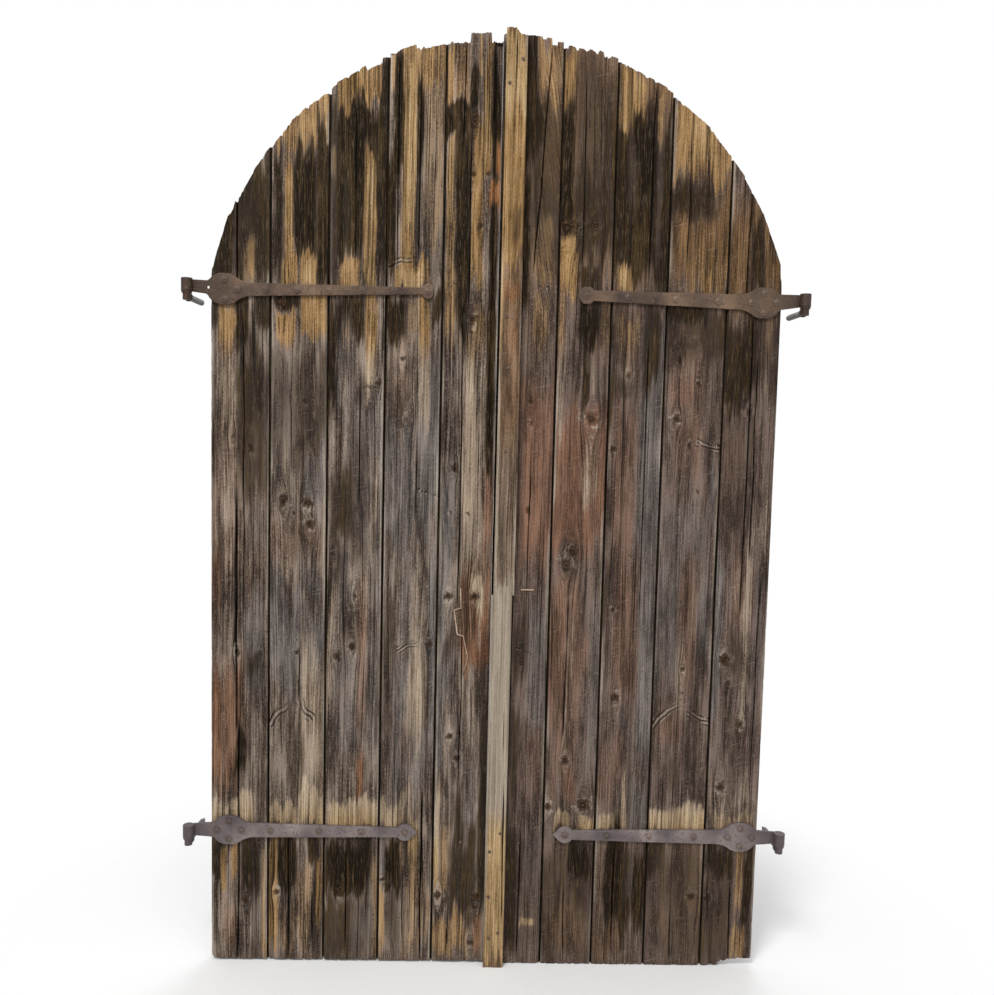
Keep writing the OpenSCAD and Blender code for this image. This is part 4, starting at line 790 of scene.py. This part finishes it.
def weathered_wood(name, tones, lines_share, creams, rusts, umbers):
    """Weathered softwood: brown and grey clouds, crisp grain lines, sooty stains and painted shade, bare
    streaks, scratches and pits.

    Rain and sun have eaten out the soft wood between the grain lines, so it is rough, with hardly any gloss.
    """
    material, tree = new_material(name)
    grain = node(tree, "ShaderNodeAttribute", attribute_name="grain").outputs["Vector"]
    stain = node(tree, "ShaderNodeAttribute", attribute_name="stain")
    wear = node(tree, "ShaderNodeAttribute", attribute_name="wear")
    knot = node(tree, "ShaderNodeAttribute", attribute_name="knot").outputs["Vector"]
    stains = node(tree, "ShaderNodeSeparateColor", {0: stain.outputs["Color"]}).outputs
    wears = node(tree, "ShaderNodeSeparateColor", {0: wear.outputs["Color"]}).outputs
    knots = node(tree, "ShaderNodeSeparateXYZ", {0: knot}).outputs

    patterns = grain_patterns(tree, grain)
    mixed = 0.0
    for title, share in (("rings", 0.34), ("fibres", 0.2), ("broad", 0.22), ("crumbs", 0.16),
                         ("clouds", 0.3)):
        mixed = maths(tree, "MULTIPLY_ADD", patterns[title], share, mixed)
    streak = ranged(tree, mixed, 0.49, 0.73, 0.0, 1.0)
    colour = toned(tree, streak, tuple(zip((0.05, 0.36, 0.64, 0.95), tones)))

    # Bare wood and brown stains are golden under the arch and at the foot, greyer and redder between
    middle_z, golden_from, golden_full = 900.0, 490.0, 600.0
    height = node(tree, "ShaderNodeSeparateXYZ", {0: grain}).outputs[1]
    height = maths(tree, "ABSOLUTE", maths(tree, "SUBTRACT", height, middle_z))
    heights = [ranged(tree, height, golden_from, golden_full, low, 1.0 - low) for low in (0.0, 1.0)]
    golden, greyed, umber, russet, honey, cream = (
        maths(tree, "MULTIPLY", mask, part)
        for mask in (stains[1], stain.outputs["Alpha"], wears[2]) for part in heights)
    # Soft stains lie evenly, bare streaks, soot and painted shade break up along the fibres
    soft, torn = (maths(tree, "MULTIPLY_ADD", streak, share, rest)
                  for share, rest in ((0.5, 0.75), (1.3, 0.35)))
    # Knots have faint rings of their own
    turns = maths(tree, "MULTIPLY", knots[0], 11.0)
    turns = maths(tree, "SINE", maths(tree, "ADD", turns, patterns["crumbs"]))
    knot_wood = toned(tree, turns, ((0.0, "#261b13"), (0.6, "#3c2d20"), (1.0, "#57432f")))
    # Coats from the wood outwards: mask, what breaks it up, where it starts and where it is full, how much
    # there is of it at most, and its colour or its colours from furrow to ridge
    coats = (
        (patterns["clouds"], None, 0.49, 0.36, 0.7, tones[0]),
        (patterns["clouds"], None, 0.52, 0.66, 0.6, tones[3]),
        (patterns["rings"], None, 0.42, 0.3, lines_share, "#1d150f"),
        (patterns["fibres"], None, 0.6, 0.74, 0.5 * lines_share, "#a3937e"),
        (patterns["crumbs"], None, 0.44, 0.32, 0.6 * lines_share, "#241b14"),
        (patterns["crumbs"], None, 0.58, 0.7, 0.5 * lines_share, "#a39684"),
        (stains[2], soft, 0.0, 1.0, 0.85, ((0.1, "#4d4948"), (0.5, "#696563"), (0.9, "#8c8682"))),
        (umber, soft, 0.0, 1.0, 0.85, umbers),
        (russet, soft, 0.0, 1.0, 0.85, rusts),
        (greyed, torn, 0.12, 0.8, 0.95, ((0.05, "#4b3e33"), (0.42, "#7d6c5c"), (0.95, "#af9d8a"))),
        (golden, torn, 0.12, 0.8, 0.95, ((0.0, "#4e3a21"), (0.42, "#83653e"), (0.95, "#b59267"))),
        # Cream bare wood; along the cover strip's left edge it is a painted highlight
        (cream, soft, 0.0, 0.8, 0.92, creams),
        (honey, soft, 0.0, 0.8, 0.92, ((0.05, "#866e4a"), (0.5, "#af9167"), (0.95, "#ceb68f"))),
        # Painted highlight along the board edges, with the pale wood of branch scars and knot halos
        (knots[2], soft, 0.15, 1.0, 0.8, ((0.05, "#736658"), (0.5, "#94877a"), (0.95, "#b5a99b"))),
        (patterns["specks"], None, 0.68, 0.76, 0.45, "#a39786"),
        (patterns["scratches"], None, 0.75, 0.8, 0.3, "#a3978a"),
        # Soot, and painted shade on the board sides in the joints and in a few strokes on the front
        (stains[0], torn, 0.08, 0.6, 0.97, ((0.1, "#0f0b06"), (0.5, "#1c150b"), (0.9, "#46361f"))),
        (patterns["fibres"], None, 0.56, 0.72, 0.45, "#6b5d50"),
        (golden, patterns["checks"], 0.46, 0.56, 1.3 * lines_share, "#2b1f13"),
        (knots[1], None, 0.02, 0.7, 0.9, knot_wood),
        (wear.outputs["Alpha"], None, 0.1, 1.0, 0.45, "#1f1711"),
        (patterns["specks"], None, 0.33, 0.26, 0.7, "#1b140e"),
        (patterns["checks"], None, 0.37, 0.31, 1.55 * lines_share, "#140f0a"),
        (wears[0], None, 0.0, 1.0, 0.97, "#0a0806"),
    )
    for mask, comb, start, full, most, paint in coats:
        if comb:
            mask = maths(tree, "MULTIPLY", mask, comb)
        if isinstance(paint, str):
            paint = srgb(paint)
        elif isinstance(paint, tuple):
            paint = toned(tree, streak, paint)
        amount = ranged(tree, mask, start, full, 0.0, most, interpolation_type="SMOOTHSTEP")
        colour = coated(tree, colour, amount, paint)

    bump = node(tree, "ShaderNodeBump", {"Height": mixed, "Strength": 0.9, "Distance": 3 * MM}).outputs[0]
    rough = ranged(tree, streak, 0.0, 1.0, 0.8, 0.95)
    skin = node(tree, "ShaderNodeBsdfPrincipled", {"Base Color": colour, "Roughness": rough, "Normal": bump,
                                                   "Specular IOR Level": 0.06})
    node(tree, "ShaderNodeOutputMaterial", {0: skin.outputs[0]})
    return material


def forged_iron(name, tones, rust_share):
    """Hand-forged wrought iron left to rust: dark scale, soft clouds, a few rust flecks and hammer dents.

    The scale leaves it only part metal to the eye, with a broad dull gleam on the dents.
    """
    material, tree = new_material(name)
    where = node(tree, "ShaderNodeTexCoord").outputs["Object"]
    patterns = {}
    # Sizes in millimetres; scale and flecks are drawn coarser than the real grit so that they show
    for title, size in (("dents", 30.0), ("scale", 6.0), ("flecks", 5.0), ("clouds", 70.0)):
        patterns[title] = node(tree, "ShaderNodeTexNoise", {
            "Vector": where, "Scale": 1 / (size * MM), "Detail": 2.0, "Roughness": 0.5}).outputs[0]
    colour = toned(tree, patterns["clouds"], tuple(zip((0.3, 0.5, 0.7), tones)))
    # Dark scale, a darker end from 550 to 680 mm off the middle, towards the eyes,
    # and rust flecks over both
    out = maths(tree, "ABSOLUTE", node(tree, "ShaderNodeSeparateXYZ", {0: where}).outputs[0])
    for mask, start, full, most, paint in (
            (patterns["scale"], 0.48, 0.3, 0.8, tones[0]), (out, 550 * MM, 680 * MM, 0.9, tones[0]),
            (patterns["flecks"], 0.58, 0.76, rust_share, tones[3])):
        colour = coated(tree, colour, ranged(tree, mask, start, full, 0.0, most), srgb(paint))
    bump = node(tree, "ShaderNodeBump", {
        "Height": patterns["dents"], "Strength": 0.35, "Distance": 2 * MM}).outputs[0]
    rough = ranged(tree, patterns["scale"], 0.3, 0.7, 0.5, 0.7)
    skin = node(tree, "ShaderNodeBsdfPrincipled", {"Base Color": colour, "Roughness": rough, "Normal": bump,
                                                   "Metallic": 0.3})
    node(tree, "ShaderNodeOutputMaterial", {0: skin.outputs[0]})
    return material


def hewn_back_wood(name, turn):
    """Sawn and hewn softwood of the back: brown-grey, grain along the piece, turned to the piece's own run.

    The weather hasn't reached it, so its lines are fine and even and its face is smoother than the front's.
    """
    material, tree = new_material(name)
    where = node(tree, "ShaderNodeTexCoord").outputs["Object"]
    where = node(tree, "ShaderNodeMapping", {"Vector": where, "Rotation": (0.0, turn, 0.0)}).outputs[0]
    patterns = {}
    # Sizes across and along the grain in millimetres
    for title, wide, long in (("rings", 5.0, 260.0), ("fibres", 1.6, 60.0), ("clouds", 40.0, 160.0)):
        scaled = node(tree, "ShaderNodeVectorMath", {
            0: where, 1: (1 / (long * MM), 1 / (wide * MM), 1 / (wide * MM))}, operation="MULTIPLY")
        patterns[title] = node(tree, "ShaderNodeTexNoise", {
            "Vector": scaled.outputs[0], "Scale": 1.0, "Detail": 3.0, "Roughness": 0.55}).outputs[0]
    colour = toned(tree, patterns["rings"], ((0.3, "#3a2f26"), (0.5, "#5d4d3d"), (0.7, "#7b6852")))
    cloudy = toned(tree, patterns["clouds"], ((0.35, "#40362d"), (0.65, "#6f6150")))
    colour = coated(tree, colour, 0.45, cloudy)
    lines = ranged(tree, patterns["fibres"], 0.45, 0.28, 0.0, 0.5)
    colour = coated(tree, colour, lines, srgb("#211a14"))
    height = maths(tree, "ADD", patterns["rings"], patterns["fibres"])
    bump = node(tree, "ShaderNodeBump", {"Height": height, "Strength": 0.6, "Distance": 0.8 * MM}).outputs[0]
    skin = node(tree, "ShaderNodeBsdfPrincipled", {"Base Color": colour, "Roughness": 0.85, "Normal": bump,
                                                   "Specular IOR Level": 0.25})
    node(tree, "ShaderNodeOutputMaterial", {0: skin.outputs[0]})
    return material


def worn_copy(name, seed, material, bevel=0.0, step=0, dent=0.0, sway=0.0):
    """A copy of a CAD piece with rounded edges, cut across every step, dented and swayed (mm)."""
    bm = bmesh.new()
    bm.from_mesh(frame["nodes"][name].data)
    bmesh.ops.remove_doubles(bm, verts=bm.verts, dist=0.01 * MM)
    bmesh.ops.dissolve_limit(bm, angle_limit=math.radians(1.0), verts=bm.verts, edges=bm.edges)
    if bevel:
        sharp = [e for e in bm.edges if len(e.link_faces) == 2 and e.calc_face_angle(0) > math.radians(32)]
        bmesh.ops.bevel(bm, geom=sharp, offset=bevel * MM, offset_type="OFFSET", segments=2, profile=0.5,
                        affect="EDGES", material=-1, clamp_overlap=True)
    if step:
        spots = np.array([v.co for v in bm.verts])
        for axis in (0, 2):
            low, high = spots[:, axis].min(), spots[:, axis].max()
            for cut in np.arange(low + step * MM, high, step * MM):
                point, normal = Vector((0, 0, 0)), Vector((0, 0, 0))
                point[axis], normal[axis] = cut, 1.0
                bmesh.ops.bisect_plane(bm, geom=bm.verts[:] + bm.edges[:] + bm.faces[:], dist=1e-6,
                                       plane_co=point, plane_no=normal)
    bmesh.ops.triangulate(bm, faces=bm.faces)
    mesh = bpy.data.meshes.new(name + "_worn")
    bm.to_mesh(mesh)
    bm.free()
    points = np.empty(len(mesh.vertices) * 3)
    mesh.vertices.foreach_get("co", points)
    x, y, z = (points.reshape(-1, 3) / MM).T
    waver = sway * 2 * (streaks(seed, x, z * 0 + y * 0, 48, 1) - 0.5)
    hollow = dent * (streaks(seed + 3, x, z, 17, 13) - 0.5) * 2
    moved = np.stack((x, y + hollow, z + waver), axis=1) * MM
    mesh.vertices.foreach_set("co", moved.ravel().astype(np.float32))
    mesh.shade_smooth()
    mesh.set_sharp_from_angle(angle=math.radians(38))
    return put_in_place(mesh, name, material)


# Colours of the bare wood and of the stains, from furrow to ridge
board_creams = ((0.05, "#7c6a57"), (0.45, "#ab967d"), (0.95, "#cdb9a0"))
strip_creams = ((0.05, "#918272"), (0.5, "#a59786"), (0.95, "#b8ab9a"))
orange_rusts = ((0.1, "#452e22"), (0.5, "#73503a"), (0.9, "#9b6e50"))
brown_rusts = ((0.1, "#543b2f"), (0.5, "#745442"), (0.9, "#946d55"))
orange_umbers = ((0.1, "#4d311d"), (0.5, "#845731"), (0.9, "#b87d4a"))
brown_umbers = ((0.1, "#372817"), (0.5, "#614626"), (0.9, "#86653c"))
# Boards of the left leaf, silvered by rain and sun: grey ridges over dark lines, orange-brown stains
left_wood = weathered_wood("weathered_grey_softwood", ("#302722", "#54473e", "#706257", "#9c8c7f"),
                           lines_share=0.55, creams=board_creams, rusts=orange_rusts, umbers=orange_umbers)
# Boards of the right leaf, less bleached: duller and browner, with softer lines
right_wood = weathered_wood("weathered_brown_softwood", ("#342a25", "#52443c", "#66564e", "#7f6d63"),
                            lines_share=0.45, creams=board_creams, rusts=brown_rusts, umbers=brown_umbers)
# The younger cover strip: planed, paler and smoother, with few dark lines
strip_wood = weathered_wood("weathered_pale_softwood", ("#453629", "#624d3b", "#78604a", "#937a62"),
                            lines_share=0.2, creams=strip_creams, rusts=orange_rusts, umbers=orange_umbers)
# Upper straps: warm brown rust all over. Lower straps: the rust is washed off to a cool grey-brown
upper_iron = forged_iron("rusty_wrought_iron", ("#2f2117", "#584535", "#725a45", "#845a3a"), rust_share=0.6)
lower_iron = forged_iron("bare_wrought_iron", ("#51474a", "#786d6b", "#90847f", "#7f6350"), rust_share=0.4)
# Nails: a shade duller than the straps that they hold
upper_nail_iron = forged_iron("rusty_nail_iron", ("#42352c", "#5e4d41", "#776353", "#85603f"), rust_share=0.5)
lower_nail_iron = forged_iron("bare_nail_iron", ("#463a37", "#66564f", "#806f67", "#7d5a45"), rust_share=0.45)
# Wire and staple: thin drawn iron, pale with dry rust
wire_iron = forged_iron("rusty_iron_wire", ("#8c7260", "#b59984", "#cfb6a2", "#a87f66"), rust_share=0.5)
# Ledges: the back's brown-grey wood with its grain lying level
ledge_wood = hewn_back_wood("hewn_softwood_ledges", 0.0)

for number in range(1, 6):
    board_piece(f"left_board_{number}", 100 * number, 1, left_wood)
    board_piece(f"right_board_{number}", 100 * number + 50, -1, right_wood)
board_piece("cover_strip", 900, 0, strip_wood)

for side in ("left", "right"):
    brace_low, brace_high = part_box(f"{side}_brace")
    lean = math.atan2(brace_high[2] - brace_low[2], brace_high[0] - brace_low[0])
    brace_wood = hewn_back_wood(f"hewn_softwood_{side}_brace", lean if side == "left" else -lean)
    worn_copy(f"{side}_brace", 40, brace_wood, bevel=2.0, step=24, dent=0.6, sway=0.6)
    for level, iron, nails in (("upper", upper_iron, upper_nail_iron),
                               ("lower", lower_iron, lower_nail_iron)):
        row = f"{side}_{level}"
        worn_copy(f"{row}_ledge", 41, ledge_wood, bevel=2.0, step=24, dent=0.6, sway=0.8)
        worn_copy(f"{row}_strap", 42, iron, bevel=0.9, step=6, dent=0.35, sway=0.5)
        worn_copy(f"{row}_strap_nails", 43, nails, bevel=0.4, dent=0.25)
        worn_copy(f"{row}_pintle", 44, iron, bevel=0.6)
    worn_copy(f"{side}_board_nails", 45, upper_nail_iron, dent=0.1)
worn_copy("cover_strip_nails", 46, upper_nail_iron)
worn_copy("latch_wire", 47, wire_iron)
worn_copy("staple", 48, wire_iron)


# Studio: pale floor that fades into a white surround, soft key and fill lights in front and one behind
def pale_floor():
    """Matt white floor round the door; it keeps the shadow and fades out into the white surround."""
    material, tree = new_material("matt_white_floor")
    where = node(tree, "ShaderNodeTexCoord").outputs["Object"]
    away = node(tree, "ShaderNodeVectorMath", {0: where}, operation="LENGTH").outputs["Value"]
    fade = ranged(tree, away, 0.72, 1.35, 0.0, 1.0, interpolation_type="SMOOTHSTEP")
    matt = node(tree, "ShaderNodeBsdfDiffuse", {"Color": srgb("#fbfbfb")})
    clear = node(tree, "ShaderNodeBsdfTransparent")
    both = node(tree, "ShaderNodeMixShader", {0: fade, 1: matt.outputs[0], 2: clear.outputs[0]})
    node(tree, "ShaderNodeOutputMaterial", {0: both.outputs[0]})
    bm = bmesh.new()
    bmesh.ops.create_circle(bm, cap_ends=True, radius=2.0, segments=96)
    bmesh.ops.translate(bm, verts=bm.verts, vec=(0, 0, -0.0005))
    mesh = bpy.data.meshes.new("floor")
    bm.to_mesh(mesh)
    bm.free()
    mesh.materials.append(material)
    floor = bpy.data.objects.new("floor", mesh)
    bpy.context.scene.collection.objects.link(floor)


def soft_lamp(name, spot, aim, size, power):
    """A square soft light at spot, facing aim."""
    lamp = bpy.data.lights.new(name, "AREA")
    lamp.size, lamp.energy = size, power
    thing = bpy.data.objects.new(name, lamp)
    thing.location = spot
    thing.rotation_euler = (Vector(aim) - Vector(spot)).to_track_quat("-Z", "Y").to_euler()
    bpy.context.scene.collection.objects.link(thing)


def white_surround():
    """World that lights softly and shows white behind the door."""
    world = bpy.data.worlds.new("white_surround")
    world.use_nodes = True
    tree = world.node_tree
    tree.nodes.clear()
    rays = node(tree, "ShaderNodeLightPath").outputs
    seen = rays["Is Camera Ray"]
    for ray in ("Is Glossy Ray", "Is Transmission Ray"):
        seen = maths(tree, "MAXIMUM", seen, rays[ray])
    light = node(tree, "ShaderNodeBackground", {"Color": srgb("#ffffff"), "Strength": 0.5})
    white = node(tree, "ShaderNodeBackground", {"Color": srgb("#ffffff"), "Strength": 1.0})
    both = node(tree, "ShaderNodeMixShader", {0: seen, 1: light.outputs[0], 2: white.outputs[0]})
    node(tree, "ShaderNodeOutputWorld", {0: both.outputs[0]})
    bpy.context.scene.world = world


def photo_camera():
    """Camera at the photo's place, turned and focused as the photo was."""
    yaw, pitch, roll = (math.radians(a) for a in (CAMERA_YAW, CAMERA_PITCH, CAMERA_ROLL))
    right, ahead, up = Vector((1, 0, 0)), Vector((0, 1, 0)), Vector((0, 0, 1))
    turn = Matrix.Rotation(yaw, 3, "Z")
    right, ahead = turn @ right, turn @ ahead
    ahead, up = ahead * math.cos(pitch) + up * math.sin(pitch), up * math.cos(pitch) - ahead * math.sin(pitch)
    right, up = right * math.cos(roll) + up * math.sin(roll), up * math.cos(roll) - right * math.sin(roll)
    lens = bpy.data.cameras.new("photo_camera")
    lens.sensor_width, lens.lens = SENSOR, CAMERA_FOCUS * SENSOR / PHOTO_LONG_SIDE
    camera = bpy.data.objects.new("photo_camera", lens)
    pose = Matrix((right, up, -ahead)).transposed().to_4x4()
    pose.translation = Vector(CAMERA_AT) * MM
    camera.matrix_world = pose
    bpy.context.scene.collection.objects.link(camera)
    bpy.context.scene.camera = camera


pale_floor()
white_surround()
soft_lamp("key_light", spot=(-1.1, -2.6, 4.2), aim=(0, 0, 1.1), size=1.2, power=120)
soft_lamp("fill_light", spot=(1.8, -3.4, 1.8), aim=(0, 0, 1.0), size=2.4, power=30)
soft_lamp("back_light", spot=(0.9, 3.4, 2.8), aim=(0, 0, 1.1), size=2.4, power=45)
photo_camera()
bpy.context.scene.view_settings.view_transform = "Standard"
